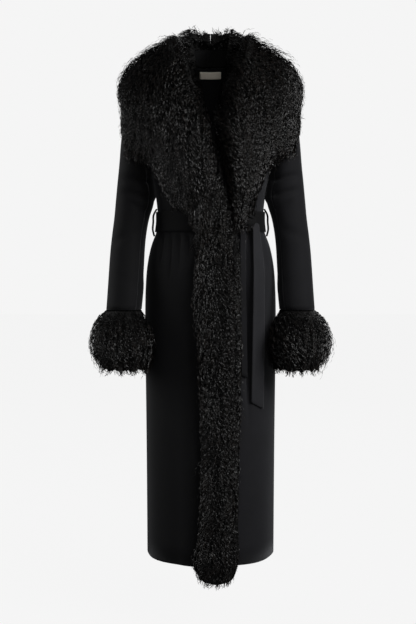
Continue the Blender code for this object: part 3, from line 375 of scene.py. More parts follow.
sleeveLine = [
    {"z": -0.050, "x": 0.190, "y": 0.000},
    {"z": -0.300, "x": 0.193, "y": 0.000},
    {"z": -0.360, "x": 0.196, "y": -0.003},
    {"z": -0.428, "x": 0.206, "y": -0.013},
    {"z": -0.520, "x": 0.211, "y": -0.037},
    {"z": -0.622, "x": 0.217, "y": -0.068},
]
# Places are turns round the sleeve as metres of cloth: 0 is its front, plus is the outer side
sleeveCreases = {
    "roundRadius": 0.055,
    "innerLean": 0.0052,  # above the elbow the sleeve lies against the bodice
    "leanEnds": {-1.0: -0.352, 1.0: -0.358},
    "cuffLean": 0.0030,
    "leanTop": -0.245,
    "cuffLeanTop": -0.53,
    "calmAbove": -0.16,
    "calmBelow": -0.620,
    "lowestTurn": -0.085,  # turns past this are counted on from the other side
    "rightHigher": 0.004,  # the right sleeve's folds are not level with the left one's
    "folds": [
        {"start": (-0.045, -0.262), "end": (0.028, -0.232), "width": 0.0060, "depth": 0.0060},
        {"start": (-0.046, -0.300), "end": (0.038, -0.286), "width": 0.0062, "depth": 0.0078},
        {"start": (-0.042, -0.338), "end": (0.030, -0.322), "width": 0.0058, "depth": 0.0070},
        {"start": (-0.050, -0.380), "end": (0.010, -0.350), "width": 0.0055, "depth": 0.0055},
        {"start": (-0.030, -0.420), "end": (0.050, -0.455), "width": 0.0078, "depth": 0.0042},
        {"start": (-0.055, -0.560), "end": (0.040, -0.530), "width": 0.0085, "depth": 0.0022},
        {"start": (0.120, -0.300), "end": (0.170, -0.262), "width": 0.0070, "depth": 0.0040},
        {"start": (0.110, -0.352), "end": (0.172, -0.330), "width": 0.0070, "depth": 0.0035},
        {"start": (0.100, -0.470), "end": (0.165, -0.500), "width": 0.0090, "depth": 0.0026},
        {"start": (0.070, -0.200), "end": (0.095, -0.560), "width": 0.0180, "depth": 0.0024},
    ],
}


def readLine(table, height, column):
    rows = sorted(table, key=lambda row: row["z"])
    for low, high in zip(rows, rows[1:]):
        if height <= high["z"]:
            share = max(0.0, (height - low["z"]) / (high["z"] - low["z"]))
            return low[column] + share * (high[column] - low[column])
    return rows[-1][column]


def sleeveDent(point, side):
    centre = Vector((side * readLine(sleeveLine, point.z, "x"), readLine(sleeveLine, point.z, "y"), point.z))
    away = point - centre
    turn = math.atan2(side * away.x, -away.y) * sleeveCreases["roundRadius"]
    if turn < sleeveCreases["lowestTurn"]:
        turn += 2.0 * math.pi * sleeveCreases["roundRadius"]
    shift = sleeveCreases["rightHigher"] if side < 0 else 0.0
    depth = troughDepth(sleeveCreases["folds"], turn, point.z + shift)
    calm = smooth((sleeveCreases["calmAbove"] - point.z) / 0.06)
    calm *= smooth((point.z - sleeveCreases["calmBelow"]) / 0.02)
    inner = smooth((-side * away.normalized().x - 0.6) / 0.35)
    lean = smooth((sleeveCreases["leanTop"] - point.z) / 0.02)
    lean *= smooth((point.z - sleeveCreases["leanEnds"][side]) / 0.016)
    atCuff = smooth((sleeveCreases["cuffLeanTop"] - point.z) / 0.04)
    press = sleeveCreases["innerLean"] * lean + sleeveCreases["cuffLean"] * atCuff
    return point - away.normalized() * (depth * calm - press * inner)


sleevePanels = {
    # The right sleeve takes the darker wool copy, painted shade
    "rightSleeveTop": {"node": "sleeve_right_top", "side": -1.0, "material": paintedShadeWool,
                      "flat": (0.26, 0.60), "area": 0.118},
    "rightSleeveUnder": {"node": "sleeve_right_under", "side": -1.0, "material": paintedShadeWool,
                        "flat": (0.14, 0.48), "area": 0.047},
    "leftSleeveTop": {"node": "sleeve_left_top", "side": 1.0, "material": brushedWool,
                     "flat": (0.26, 0.60), "area": 0.118},
    "leftSleeveUnder": {"node": "sleeve_left_under", "side": 1.0, "material": brushedWool,
                       "flat": (0.14, 0.48), "area": 0.047},
}
for name, cut in sleevePanels.items():
    points, faces = mergedCopy(cut["node"])
    sleeve = finerMesh(name, points, faces, 2, 1.0)
    for vertex in sleeve.data.vertices:
        vertex.co = sleeveDent(vertex.co.copy(), cut["side"])
    finishPiece(sleeve, cut["material"], "wool_cloth", cut["node"])
    panels.append(sleeve)
print("sleeves made")

# The knot's strap crosses from its upper inner corner down to its outer side, with pressed folds
knotFolds = [
    {"start": (0.068, -0.383), "end": (0.108, -0.402), "width": 0.0026, "depth": 0.0060},
    {"start": (0.058, -0.398), "end": (0.094, -0.4175), "width": 0.0028, "depth": 0.0055},
    {"start": (0.072, -0.394), "end": (0.098, -0.4065), "width": 0.0010, "depth": 0.0012},
    {"start": (0.088, -0.383), "end": (0.106, -0.390), "width": 0.0016, "depth": 0.0030},
]
# The wide end rolls: its inner edge stands off the coat
tailRoll = [{"start": (0.0985, -0.440), "end": (0.0965, -0.850), "width": 0.0100, "depth": -0.0080}]
smallCloth = {
    # The stand, belt and knot take the darker wool copy, painted shade; the wide end takes the lighter copy,
    # painted light
    "neckStand": {"node": "collar_stand", "material": paintedShadeBeltWool, "levels": 2, "crease": 1.0,
                  "flat": (0.175, 0.050), "area": 0.0076, "held": "stretched"},
    "waistBelt": {"node": "belt_band", "material": paintedShadeBeltWool, "levels": 2,
                  "flat": (0.051, 0.840), "area": 0.0428, "held": "stretched"},
    "wideTail": {"node": "belt_end_wide", "material": paintedLightTailWool, "levels": 2, "folds": tailRoll,
                 "flat": (0.036, 0.460), "area": 0.0163, "held": "hung"},
    "narrowTail": {"node": "belt_end_narrow", "material": brushedWool, "levels": 2,
                   "flat": (0.016, 0.365), "area": 0.0058, "held": "hung"},
    "beltKnot": {"node": "belt_knot", "material": paintedShadeBeltWool, "levels": 3, "folds": knotFolds},
    "rightLoop": {"node": "belt_loop_right", "material": brushedWool, "levels": 2, "fuller": 0.0009},
    "leftLoop": {"node": "belt_loop_left", "material": brushedWool, "levels": 2, "fuller": 0.0009},
}
for name, cut in smallCloth.items():
    points, faces = mergedCopy(cut["node"])
    piece = finerMesh(name, points, faces, cut["levels"], cut.get("crease", 0.7))
    for vertex in piece.data.vertices:
        vertex.co += vertex.normal * cut.get("fuller", 0.0)
        vertex.co.y += troughDepth(cut.get("folds", []), vertex.co.x, vertex.co.z)
    finishPiece(piece, cut["material"], "wool_cloth", cut["node"])
    cut["piece"] = piece
tape = {"flat": (0.057, 0.022), "area": 0.00125, "turnedUp": 0.20}
points, faces = mergedCopy("neck_label")
topZ = max(p.z for p in points)
slope = (max(p.y for p in points) - min(p.y for p in points)) / (topZ - min(p.z for p in points))
for point in points:
    # The tape's lower edge is turned up, a fifth of its height
    rise = tape["turnedUp"] * (topZ - point.z)
    point += Vector((0.0, -slope * rise, rise))
label = finishPiece(finerMesh("neckTape", points, faces, 2, 0.9), satinTape, "label_tape", "neck_label")
print("belt, stand and label made")


# Fur: a dark pelt inside each fur solid, and locks that follow the solid's outer face

def treeOf(objects):
    points = []
    faces = []
    for obj in objects:
        start = len(points)
        points.extend(v.co.copy() for v in obj.data.vertices)
        faces.extend([start + i for i in p.vertices] for p in obj.data.polygons)
    return BVHTree.FromPolygons(points, faces)


def turned(direction, normal, angle):
    # Turn a direction about the normal and lay it flat on the surface
    flat = (direction - normal * direction.dot(normal)).normalized()
    return flat * math.cos(angle) + normal.cross(flat) * math.sin(angle)


furPlace = {
    "collarFoot": -0.374,  # the collar ends here, and the band begins
    "cuffSeam": -0.620,
    "cuffMiddle": (0.2168, -0.078),
    "collarMiddle": (0.0, 0.0, 0.02),  # the collar's hair flows away from here
    "peltDepth": 0.0006,
    "thickest": 0.08,
    "backSeam": 0.002,
}


def fromCuffMiddle(point):
    middleX, middleY = furPlace["cuffMiddle"]
    return (point - Vector((math.copysign(middleX, point.x), middleY, point.z))).normalized()


def collarEnds(point):
    # The two halves meet at the centre back, and the lower ends pass over the belt
    # On top of the roll the pelt stands fuller toward the centre, where the halves' locks cross
    behind = smooth(abs(point.x) / 0.025) if point.y > 0.0 else 1.0
    crown = 0.8 * (1.0 - smooth(abs(point.x) / 0.05)) * smooth((point.z - 0.03) / 0.04)
    return behind * smooth((point.z - furPlace["collarFoot"]) / 0.03) - crown


def bandEnds(point):
    return smooth((furPlace["collarFoot"] - point.z) / 0.03)


def cuffEnds(point):
    return smooth((furPlace["cuffSeam"] - point.z) / 0.016)


def collarFall(point, normal):
    away = (point - Vector(furPlace["collarMiddle"])).normalized()
    swirl = 0.55 * noise.noise(point * 10.0) + 0.45 * noise.noise(point * 28.0)
    sag = 0.08 + 0.40 * smooth((-0.08 - point.z) / 0.15)
    return turned(away + Vector((0.0, 0.0, -sag)), normal, swirl)


def bandFall(point, normal):
    aside = -0.45 if point.x < 0.02 else 0.10
    if point.z > -0.45:
        aside *= 0.4
    swirl = 0.5 * noise.noise(point * 12.0) + 0.4 * noise.noise(point * 30.0)
    return turned(Vector((aside, 0.0, -1.0)), normal, swirl)


def cuffFall(point, normal):
    swirl = 0.4 * noise.noise(point * 12.0) + 0.35 * noise.noise(point * 30.0)
    return turned(fromCuffMiddle(point) * 0.7 + Vector((0.0, 0.0, -1.0)), normal, swirl)


def collarPast(point):
    # How far hair hangs past the pelt's edge, and how straight down: long over the belt, into the band
    overBelt = smooth((-0.30 - point.z) / 0.04) * smooth((point.x + 0.075) / 0.03)
    return 0.016 + 0.040 * overBelt, 0.9 * overBelt


def bandPast(point):
    return 0.012, 0.5


def cuffPast(point):
    return 0.018, 0.1


def followFall(surface, start, normal, fall, length, past):
    # Walk down the outer face in the hair's own direction, until the length or the edge is reached
    steps = 8
    stride = length / steps
    points = [start]
    reach, hang = past
    for _ in range(steps):
        way = fall(points[-1], normal)
        hit, hitNormal, _, _ = surface.find_nearest(points[-1] + way * stride)
        if hit is None or (hit - points[-1]).length < stride * 0.6 or hitNormal.z < -0.6:
            sagging = (way + Vector((0.0, 0.0, -0.3))).normalized()
            ending = sagging.lerp(Vector((0.0, -0.15, -1.0)), hang)
            points.append(points[-1] + ending.normalized() * reach)
            break
        normal = hitNormal
        points.append(hit)
    return points


def makePeltPiece(name, fur):
    # The pelt is the solid drawn in; each point keeps the path that hair rooted there will take
    points, faces = mergedCopy(fur["node"])
    pelt = finerMesh(name, points, faces, 1, 0.3, 1.0)
    mesh = pelt.data
    surface = treeOf([pelt])
    normals = [v.normal.copy() for v in mesh.vertices]
    starts = [v.co.copy() for v in mesh.vertices]
    skins, bends, tips, shares = [], [], [], []
    for start, normal in zip(starts, normals):
        hit = surface.ray_cast(start - normal * 0.0005, -normal, furPlace["thickest"])[0]
        room = (hit - start).length if hit else 0.0
        # Only the outer side is drawn in: the side on the cloth stays where it is sewn
        share = fur["share"](start, normal)
        keep = fur["ends"](start) if share > 0.0 else 0.0
        drawn = start - normal * (furPlace["peltDepth"] + room * fur["drawnIn"] * keep)
        if abs(start.x) < furPlace["backSeam"] and start.y > 0.0:
            drawn.x = 0.0  # the collar's halves are sewn together at the centre back
        path = followFall(surface, start, normal, fur["fall"], fur["length"], fur["past"](start))
        middle = path[len(path) // 2] - start
        end = path[-1] - start
        skins.append(start - drawn)
        bends.append(middle * 2.0 - end * 0.5)
        tips.append(end)
        shares.append(share)
    for layer, values in (("skin", skins), ("bend", bends), ("tip", tips)):
        store = mesh.attributes.new(layer, "FLOAT_VECTOR", "POINT")
        store.data.foreach_set("vector", [c for v in values for c in v])
    store = mesh.attributes.new("share", "FLOAT", "POINT")
    store.data.foreach_set("value", shares)
    for vertex, skin in zip(mesh.vertices, skins):
        vertex.co -= skin
    return pelt


# Shares and shapes of a single hair, in parts of its own length, lift, curl or thickness
strand = {
    "riseSpeed": 2.2,
    "lowestLift": 0.20,
    "lockStretch": (0.7, 0.65),
    "curlWidening": (0.6, 0.4),
    "ownCurl": (0.8, 0.6),
    "curlFlatness": 0.45,
    "ownTone": 0.45,
    "lockTone": 0.55,
    "rock": 1.2,  # how far a flat hair turns its face as it curls
    "taper": -0.8,
    "ownThickness": (0.7, 0.6),
}


def makeLockTree():
    # Geometry Nodes: hairs scattered on the pelt, bent along their stored path, curled and clumped
    tree = bpy.data.node_groups.new("curlyLocks", "GeometryNodeTree")
    face = tree.interface
    face.new_socket("Geometry", in_out="OUTPUT", socket_type="NodeSocketGeometry")
    face.new_socket("Geometry", in_out="INPUT", socket_type="NodeSocketGeometry")
    for name in ("Hairs Per Square Metre", "Shortest", "Longest", "Lift", "Strays", "Stray Rise", "Curl Size",
                 "Curl Length", "Looseness", "Lock Size", "Clump", "Thickness"):
        face.new_socket(name, in_out="INPUT", socket_type="NodeSocketFloat")
    for name in ("Steps", "Seed"):
        face.new_socket(name, in_out="INPUT", socket_type="NodeSocketInt")
    face.new_socket("Hair", in_out="INPUT", socket_type="NodeSocketMaterial")
    given = addNode(tree, "NodeGroupInput").outputs

    stored = {}
    for name in ("skin", "root", "luck", "bend", "tip", "pull", "lock"):
        stored[name] = addNode(tree, "GeometryNodeInputNamedAttribute", {"data_type": "FLOAT_VECTOR"}, {
            "Name": name})
    skin, root, bend, tip = [stored[name] for name in ("skin", "root", "bend", "tip")]
    share = addNode(tree, "GeometryNodeInputNamedAttribute", {"data_type": "FLOAT"}, {"Name": "share"})
    amount = addNode(tree, "ShaderNodeMath", {"operation": "MULTIPLY"}, {
        0: share, 1: given["Hairs Per Square Metre"]})
    scatter = addNode(tree, "GeometryNodeDistributePointsOnFaces", None, {
        "Mesh": given["Geometry"], "Density": amount, "Seed": given["Seed"]})
    here = addNode(tree, "GeometryNodeInputPosition")
    rooted = addNode(tree, "GeometryNodeStoreNamedAttribute", {"data_type": "FLOAT_VECTOR"}, {
        "Geometry": scatter.outputs["Points"], "Name": "root", "Value": here})
    luck = addNode(tree, "FunctionNodeRandomValue", {"data_type": "FLOAT_VECTOR"}, {"Seed": given["Seed"]})
    lucky = addNode(tree, "GeometryNodeStoreNamedAttribute", {"data_type": "FLOAT_VECTOR"}, {
        "Geometry": rooted, "Name": "luck", "Value": luck})

    # Neighbouring hairs share a lock: they lean to its middle and curl together
    perMetre = addNode(tree, "ShaderNodeMath", {"operation": "DIVIDE"}, {0: 1.0, 1: given["Lock Size"]})
    locks = addNode(tree, "ShaderNodeTexVoronoi", {"voronoi_dimensions": "3D"}, {
        "Vector": here, "Scale": perMetre})
    toMiddle = addNode(tree, "ShaderNodeVectorMath", {"operation": "SUBTRACT"}, {
        0: locks.outputs["Position"], 1: here})
    outward = addNode(tree, "ShaderNodeVectorMath", {"operation": "NORMALIZE"}, {0: skin})
    across = addNode(tree, "ShaderNodeVectorMath", {"operation": "DOT_PRODUCT"}, {0: toMiddle, 1: outward})
    offSkin = addNode(tree, "ShaderNodeVectorMath", {"operation": "SCALE"}, {
        0: outward, "Scale": across.outputs["Value"]})
    pull = addNode(tree, "ShaderNodeVectorMath", {"operation": "SUBTRACT"}, {0: toMiddle, 1: offSkin})
    pulled = addNode(tree, "GeometryNodeStoreNamedAttribute", {"data_type": "FLOAT_VECTOR"}, {
        "Geometry": lucky, "Name": "pull", "Value": pull})
    phased = addNode(tree, "GeometryNodeStoreNamedAttribute", {"data_type": "FLOAT_VECTOR"}, {
        "Geometry": pulled, "Name": "lock", "Value": locks.outputs["Color"]})

    line = addNode(tree, "GeometryNodeCurvePrimitiveLine")
    stepped = addNode(tree, "GeometryNodeResampleCurve", None, {"Curve": line, "Count": given["Steps"]})
    placed = addNode(tree, "GeometryNodeInstanceOnPoints", None, {"Points": phased, "Instance": stepped})
    hairs = addNode(tree, "GeometryNodeRealizeInstances", None, {"Geometry": placed})

    chance = addNode(tree, "ShaderNodeSeparateXYZ", None, {0: stored["luck"]})
    lockChance = addNode(tree, "ShaderNodeSeparateXYZ", None, {0: stored["lock"]})
    along = addNode(tree, "GeometryNodeSplineParameter").outputs["Factor"]

    # Reach along the path: each hair has its own length
    longest = addNode(tree, "ShaderNodeMapRange", None, {
        "Value": chance.outputs["X"], "To Min": given["Shortest"], "To Max": given["Longest"]})
    reach = addNode(tree, "ShaderNodeMath", {"operation": "MULTIPLY"}, {
        0: along, 1: longest.outputs["Result"]})
    rest = addNode(tree, "ShaderNodeMath", {"operation": "SUBTRACT"}, {0: 1.0, 1: reach})
    bendPart = addNode(tree, "ShaderNodeMath", {"operation": "MULTIPLY"}, {0: reach, 1: rest})
    bendTwice = addNode(tree, "ShaderNodeMath", {"operation": "MULTIPLY"}, {0: bendPart, 1: 2.0})
    tipPart = addNode(tree, "ShaderNodeMath", {"operation": "MULTIPLY"}, {0: reach, 1: reach})
    bendMove = addNode(tree, "ShaderNodeVectorMath", {"operation": "SCALE"}, {0: bend, "Scale": bendTwice})
    tipMove = addNode(tree, "ShaderNodeVectorMath", {"operation": "SCALE"}, {0: tip, "Scale": tipPart})

    # Height over the pelt: up quickly, a few strays stand well off
    quick = addNode(tree, "ShaderNodeMath", {"operation": "MULTIPLY", "use_clamp": True}, {
        0: along, 1: strand["riseSpeed"]})
    left = addNode(tree, "ShaderNodeMath", {"operation": "SUBTRACT"}, {0: 1.0, 1: quick})
    leftTwice = addNode(tree, "ShaderNodeMath", {"operation": "MULTIPLY"}, {0: left, 1: left})
    risen = addNode(tree, "ShaderNodeMath", {"operation": "SUBTRACT"}, {0: 1.0, 1: leftTwice})
    height = addNode(tree, "ShaderNodeMapRange", None, {
        "Value": chance.outputs["Y"], "To Min": strand["lowestLift"], "To Max": given["Lift"]})
    strayLine = addNode(tree, "ShaderNodeMath", {"operation": "SUBTRACT"}, {0: 1.0, 1: given["Strays"]})
    isStray = addNode(tree, "ShaderNodeMath", {"operation": "GREATER_THAN"}, {
        0: lockChance.outputs["Z"], 1: strayLine})
    strayRise = addNode(tree, "ShaderNodeMath", {"operation": "MULTIPLY"}, {0: isStray, 1: along})
    fullHeight = addNode(tree, "ShaderNodeMath", {"operation": "MULTIPLY_ADD"}, {
        0: strayRise, 1: given["Stray Rise"], 2: height.outputs["Result"]})
    lifted = addNode(tree, "ShaderNodeMath", {"operation": "MULTIPLY"}, {0: risen, 1: fullHeight})
    skinMove = addNode(tree, "ShaderNodeVectorMath", {"operation": "SCALE"}, {0: skin, "Scale": lifted})

    # Curls: a spiral round the path that widens to the tip, in step within a lock
    pathLength = addNode(tree, "ShaderNodeVectorMath", {"operation": "LENGTH"}, {0: tip})
    run = addNode(tree, "ShaderNodeMath", {"operation": "MULTIPLY"}, {
        0: reach, 1: pathLength.outputs["Value"]})
    lockStretch = addNode(tree, "ShaderNodeMath", {"operation": "MULTIPLY_ADD"}, {
        0: lockChance.outputs["Z"], 1: strand["lockStretch"][0], 2: strand["lockStretch"][1]})
    ownLength = addNode(tree, "ShaderNodeMath", {"operation": "MULTIPLY"}, {
        0: lockStretch, 1: given["Curl Length"]})
    turns = addNode(tree, "ShaderNodeMath", {"operation": "DIVIDE"}, {0: run, 1: ownLength})
    ownPhase = addNode(tree, "ShaderNodeMath", {"operation": "MULTIPLY"}, {
        0: chance.outputs["Z"], 1: given["Looseness"]})
    lockPhase = addNode(tree, "ShaderNodeMath", {"operation": "ADD"}, {
        0: ownPhase, 1: lockChance.outputs["X"]})
    allTurns = addNode(tree, "ShaderNodeMath", {"operation": "ADD"}, {0: turns, 1: lockPhase})
    angle = addNode(tree, "ShaderNodeMath", {"operation": "MULTIPLY"}, {0: allTurns, 1: 2.0 * math.pi})
    widening = addNode(tree, "ShaderNodeMath", {"operation": "MULTIPLY_ADD"}, {
        0: along, 1: strand["curlWidening"][0], 2: strand["curlWidening"][1]})
    ownSize = addNode(tree, "ShaderNodeMath", {"operation": "MULTIPLY_ADD"}, {
        0: chance.outputs["Y"], 1: strand["ownCurl"][0], 2: strand["ownCurl"][1]})
    curlShare = addNode(tree, "ShaderNodeMath", {"operation": "MULTIPLY"}, {0: widening, 1: ownSize})
    curlSize = addNode(tree, "ShaderNodeMath", {"operation": "MULTIPLY"}, {
        0: curlShare, 1: given["Curl Size"]})
    sine = addNode(tree, "ShaderNodeMath", {"operation": "SINE"}, {0: angle})
    cosine = addNode(tree, "ShaderNodeMath", {"operation": "COSINE"}, {0: angle})
    outBack = addNode(tree, "ShaderNodeVectorMath", {"operation": "NORMALIZE"}, {0: skin})
    sideways = addNode(tree, "ShaderNodeVectorMath", {"operation": "CROSS_PRODUCT"}, {0: outBack, 1: tip})
    side = addNode(tree, "ShaderNodeVectorMath", {"operation": "NORMALIZE"}, {0: sideways})
    sideSize = addNode(tree, "ShaderNodeMath", {"operation": "MULTIPLY"}, {0: sine, 1: curlSize})
    flatter = addNode(tree, "ShaderNodeMath", {"operation": "MULTIPLY"}, {
        0: cosine, 1: strand["curlFlatness"]})
    outSize = addNode(tree, "ShaderNodeMath", {"operation": "MULTIPLY"}, {0: flatter, 1: curlSize})
    sideMove = addNode(tree, "ShaderNodeVectorMath", {"operation": "SCALE"}, {0: side, "Scale": sideSize})
    outMove = addNode(tree, "ShaderNodeVectorMath", {"operation": "SCALE"}, {0: outBack, "Scale": outSize})
    clumping = addNode(tree, "ShaderNodeMath", {"operation": "MULTIPLY"}, {0: along, 1: given["Clump"]})
    lean = addNode(tree, "ShaderNodeVectorMath", {"operation": "SCALE"}, {
        0: stored["pull"], "Scale": clumping})

    place = root  # every move is added to the hair's root
    for move in (bendMove, tipMove, skinMove, sideMove, outMove, lean):
        place = addNode(tree, "ShaderNodeVectorMath", {"operation": "ADD"}, {0: place, 1: move})
    shaped = addNode(tree, "GeometryNodeSetPosition", None, {"Geometry": hairs, "Position": place})

    withAlong = addNode(tree, "GeometryNodeStoreNamedAttribute", {"data_type": "FLOAT"}, {
        "Geometry": shaped, "Name": "alongHair", "Value": along})
    ownTone = addNode(tree, "ShaderNodeMath", {"operation": "MULTIPLY"}, {
        0: chance.outputs["X"], 1: strand["ownTone"]})
    tone = addNode(tree, "ShaderNodeMath", {"operation": "MULTIPLY_ADD"}, {
        0: lockChance.outputs["Y"], 1: strand["lockTone"], 2: ownTone})
    withTone = addNode(tree, "GeometryNodeStoreNamedAttribute", {"data_type": "FLOAT"}, {
        "Geometry": withAlong, "Name": "hairTone", "Value": tone})
    rock = addNode(tree, "ShaderNodeMath", {"operation": "MULTIPLY"}, {0: cosine, 1: strand["rock"]})
    rocked = addNode(tree, "ShaderNodeVectorMath", {"operation": "SCALE"}, {0: side, "Scale": rock})
    facing = addNode(tree, "ShaderNodeVectorMath", {"operation": "ADD"}, {0: outBack, 1: rocked})
    faced = addNode(tree, "GeometryNodeSetCurveNormal", {"mode": "FREE"}, {
        "Curve": withTone, "Normal": facing})
    worn = addNode(tree, "ShaderNodeMath", {"operation": "POWER"}, {0: along, 1: 2.0})
    taper = addNode(tree, "ShaderNodeMath", {"operation": "MULTIPLY_ADD"}, {
        0: worn, 1: strand["taper"], 2: 1.0})
    ownThick = addNode(tree, "ShaderNodeMath", {"operation": "MULTIPLY_ADD"}, {
        0: chance.outputs["Z"], 1: strand["ownThickness"][0], 2: strand["ownThickness"][1]})
    thick = addNode(tree, "ShaderNodeMath", {"operation": "MULTIPLY"}, {0: taper, 1: ownThick})
    radius = addNode(tree, "ShaderNodeMath", {"operation": "MULTIPLY"}, {0: thick, 1: given["Thickness"]})
    profile = addNode(tree, "GeometryNodeCurvePrimitiveLine", None, {
        "Start": (0.0, -1.0, 0.0), "End": (0.0, 1.0, 0.0)})
    ribbons = addNode(tree, "GeometryNodeCurveToMesh", None, {
        "Curve": faced, "Profile Curve": profile, "Scale": radius})
    soft = addNode(tree, "GeometryNodeSetShadeSmooth", None, {0: ribbons})
    whole = addNode(tree, "GeometryNodeRealizeInstances", None, {"Geometry": soft})
    coloured = addNode(tree, "GeometryNodeSetMaterial", None, {"Geometry": whole, "Material": given["Hair"]})
    addNode(tree, "NodeGroupOutput", None, {0: coloured})
    return tree


lockTree = makeLockTree()


def growHair(name, pelt, values):
    # Run the tree on a copy of the pelt and keep the plain mesh
    holder = bpy.data.objects.new(name, pelt.data.copy())
    bpy.context.scene.collection.objects.link(holder)
    modifier = holder.modifiers.new("locks", "NODES")
    modifier.node_group = lockTree
    sockets = {s.name: s.identifier for s in lockTree.interface.items_tree if s.in_out == "INPUT"}
    for key, value in values.items():
        modifier[sockets[key]] = value
    modifier[sockets["Hair"]] = lambFur
    mesh = bpy.data.meshes.new_from_object(holder.evaluated_get(bpy.context.evaluated_depsgraph_get()))
    holder.modifiers.clear()
    holder.data = mesh
    mesh.name = name
    working = ("root", "luck", "pull", "lock", "skin", "bend", "tip", "share")
    for layer in [a.name for a in mesh.attributes if a.name in working]:
        mesh.attributes.remove(mesh.attributes[layer])
    mesh.calc_loop_triangles()
    print(name, len(mesh.loop_triangles), "triangles")
    return holder


clothUnder = treeOf(panels + [smallCloth["waistBelt"]["piece"], smallCloth["neckStand"]["piece"]])


def collarShare(point, normal):
    # No hair grows where the fur lies on the cloth, and less inside the neck
    if abs(normal.x) > 0.8 and abs(point.x) < 0.003:
        return 0.0
    near = clothUnder.find_nearest(point)
    if near[3] < 0.006 and (point - near[0]).dot(normal) < 0.0:
        return 0.0
    inward = smooth(-normal.dot(Vector((point.x, point.y, 0.0)).normalized()) / 0.6)
    return 1.0 - 0.5 * inward


def bandShare(point, normal):
    return 1.0 if normal.y < 0.15 else 0.0


def cuffShare(point, normal):
    return 1.0 if normal.dot(fromCuffMiddle(point)) > -0.1 else 0.0


furPieces = {
    "collarRight": {"node": "fur_collar_right", "fall": collarFall, "share": collarShare, "ends": collarEnds,
                    "seed": 3, "length": 0.070, "past": collarPast, "drawnIn": 0.30,
                    "hairs": {"Locks": 9000.0, "Curls": 14000.0, "Wisps": 2600.0}},
    "collarLeft": {"node": "fur_collar_left", "fall": collarFall, "share": collarShare, "ends": collarEnds,
                   "seed": 11, "length": 0.070, "past": collarPast, "drawnIn": 0.30,
                   "hairs": {"Locks": 9000.0, "Curls": 14000.0, "Wisps": 2600.0}},
    "frontBand": {"node": "fur_front_band", "fall": bandFall, "share": bandShare, "ends": bandEnds,
                  "seed": 23, "length": 0.060, "past": bandPast, "drawnIn": 0.45,
                  "hairs": {"Locks": 8000.0, "Curls": 12000.0, "Wisps": 900.0}},
    "cuffRight": {"node": "fur_cuff_right", "fall": cuffFall, "share": cuffShare, "ends": cuffEnds,
                  "seed": 31, "length": 0.065, "past": cuffPast, "drawnIn": 0.26,
                  "hairs": {"Locks": 7000.0, "Curls": 11000.0, "Wisps": 1500.0}},
    "cuffLeft": {"node": "fur_cuff_left", "fall": cuffFall, "share": cuffShare, "ends": cuffEnds,
                 "seed": 43, "length": 0.065, "past": cuffPast, "drawnIn": 0.26,
                 "hairs": {"Locks": 7000.0, "Curls": 11000.0, "Wisps": 1500.0}},
}
hairLook = {
    "Locks": {"Shortest": 0.6, "Longest": 1.0, "Lift": 0.95, "Strays": 0.35, "Stray Rise": 0.5,
              "Curl Size": 0.0022, "Curl Length": 0.020, "Looseness": 0.25, "Lock Size": 0.016,
              "Clump": 0.70, "Thickness": 0.0013, "Steps": 20},
    "Curls": {"Shortest": 0.45, "Longest": 1.05, "Lift": 1.10, "Strays": 0.35, "Stray Rise": 0.8,
              "Curl Size": 0.0024, "Curl Length": 0.0150, "Looseness": 0.15, "Lock Size": 0.013,
              "Clump": 0.75, "Thickness": 0.0009, "Steps": 28},
    "Wisps": {"Shortest": 0.8, "Longest": 1.25, "Lift": 1.25, "Strays": 0.5, "Stray Rise": 1.1,
              "Curl Size": 0.0028, "Curl Length": 0.018, "Looseness": 0.3, "Lock Size": 0.014,
              "Clump": 0.85, "Thickness": 0.0008, "Steps": 28},
}
for name, fur in furPieces.items():
    pelt = makePeltPiece(name + "Pelt", fur)
    for number, (layer, look) in enumerate(hairLook.items()):
        values = dict(look)
        values["Hairs Per Square Metre"] = fur["hairs"][layer]
        values["Seed"] = fur["seed"] + number
        hair = growHair(name + layer, pelt, values)
        finishPiece(hair, lambFur, "curly_fur", fur["node"])
    for layer in ("skin", "bend", "tip", "share"):
        pelt.data.attributes.remove(pelt.data.attributes[layer])
    finishPiece(pelt, furPelt, "curly_fur", fur["node"])
print("fur made")


# Floor and light

studio = {
    "floorHeight": -1.42,
    "floorHalf": 12.0,
    "paperRadius": 14.0,
    "background": "#f5f5f5",
    "roomLight": 0.12,
    "floorGlow": 0.985,
    "floorGrey": 0.02,
    "lightsAim": (0.0, 0.0, -0.5),
}


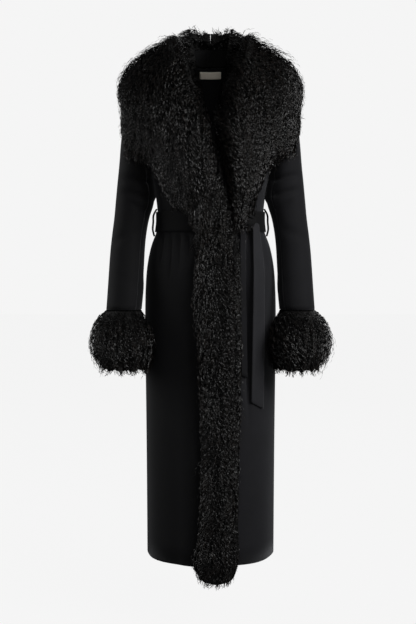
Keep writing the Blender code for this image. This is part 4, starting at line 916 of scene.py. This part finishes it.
def makeStage(name, points, faces, emission, grey):
    # Pale paper that the camera sees, and that throws no light back on the dark cloth
    mesh = bpy.data.meshes.new(name)
    mesh.from_pydata(points, [], faces)
    paper, _, paperShader = newMaterial(name + "Paper")
    paperShader.inputs["Base Color"].default_value = (grey, grey, grey, 1.0)
    paperShader.inputs["Roughness"].default_value = 0.9
    paperShader.inputs["Specular IOR Level"].default_value = 0.0
    paperShader.inputs["Emission Color"].default_value = toLinear(studio["background"])
    paperShader.inputs["Emission Strength"].default_value = emission
    mesh.materials.append(paper)
    stage = bpy.data.objects.new(name, mesh)
    stage.visible_diffuse = False
    stage.visible_glossy = False
    stage.visible_shadow = False
    bpy.context.scene.collection.objects.link(stage)


half = studio["floorHalf"]
level = studio["floorHeight"]
corners = [(-half, -half, level), (half, -half, level), (half, half, level), (-half, half, level)]
makeStage("paleFloor", corners, [(0, 1, 2, 3)], studio["floorGlow"], studio["floorGrey"])
dome = bmesh.new()
bmesh.ops.create_icosphere(dome, subdivisions=3, radius=studio["paperRadius"])
makeStage("paleBackdrop", [v.co.copy() for v in dome.verts],
          [[v.index for v in f.verts] for f in dome.faces], 1.0, 0.0)
dome.free()

world = bpy.data.worlds.new("studioWorld")
world.use_nodes = True
bpy.context.scene.world = world
sky = next(n for n in world.node_tree.nodes if n.type == "BACKGROUND")
sky.inputs["Color"].default_value = toLinear(studio["background"])
sky.inputs["Strength"].default_value = studio["roomLight"]

studioLights = {
    "keyPanel": {"place": (1.6, -1.35, 0.45), "size": 1.2, "power": 48.0},
    "fillPanel": {"place": (0.1, -2.9, 0.15), "size": 1.0, "power": 9.0},
    "rimPanel": {"place": (-2.4, 0.4, 0.0), "size": 1.4, "power": 28.0},
    "backPanel": {"place": (1.2, 2.6, 0.8), "size": 1.6, "power": 26.0},
}
for name, lamp in studioLights.items():
    data = bpy.data.lights.new(name, "AREA")
    data.shape = "SQUARE"
    data.size = lamp["size"]
    data.energy = lamp["power"]
    light = bpy.data.objects.new(name, data)
    light.location = lamp["place"]
    aim = Vector(studio["lightsAim"]) - Vector(lamp["place"])
    light.rotation_euler = aim.to_track_quat("-Z", "Y").to_euler()
    light.visible_camera = False
    bpy.context.scene.collection.objects.link(light)
bpy.context.scene.view_settings.view_transform = "Standard"
bpy.context.scene.view_settings.look = "None"
print("floor and lights set")
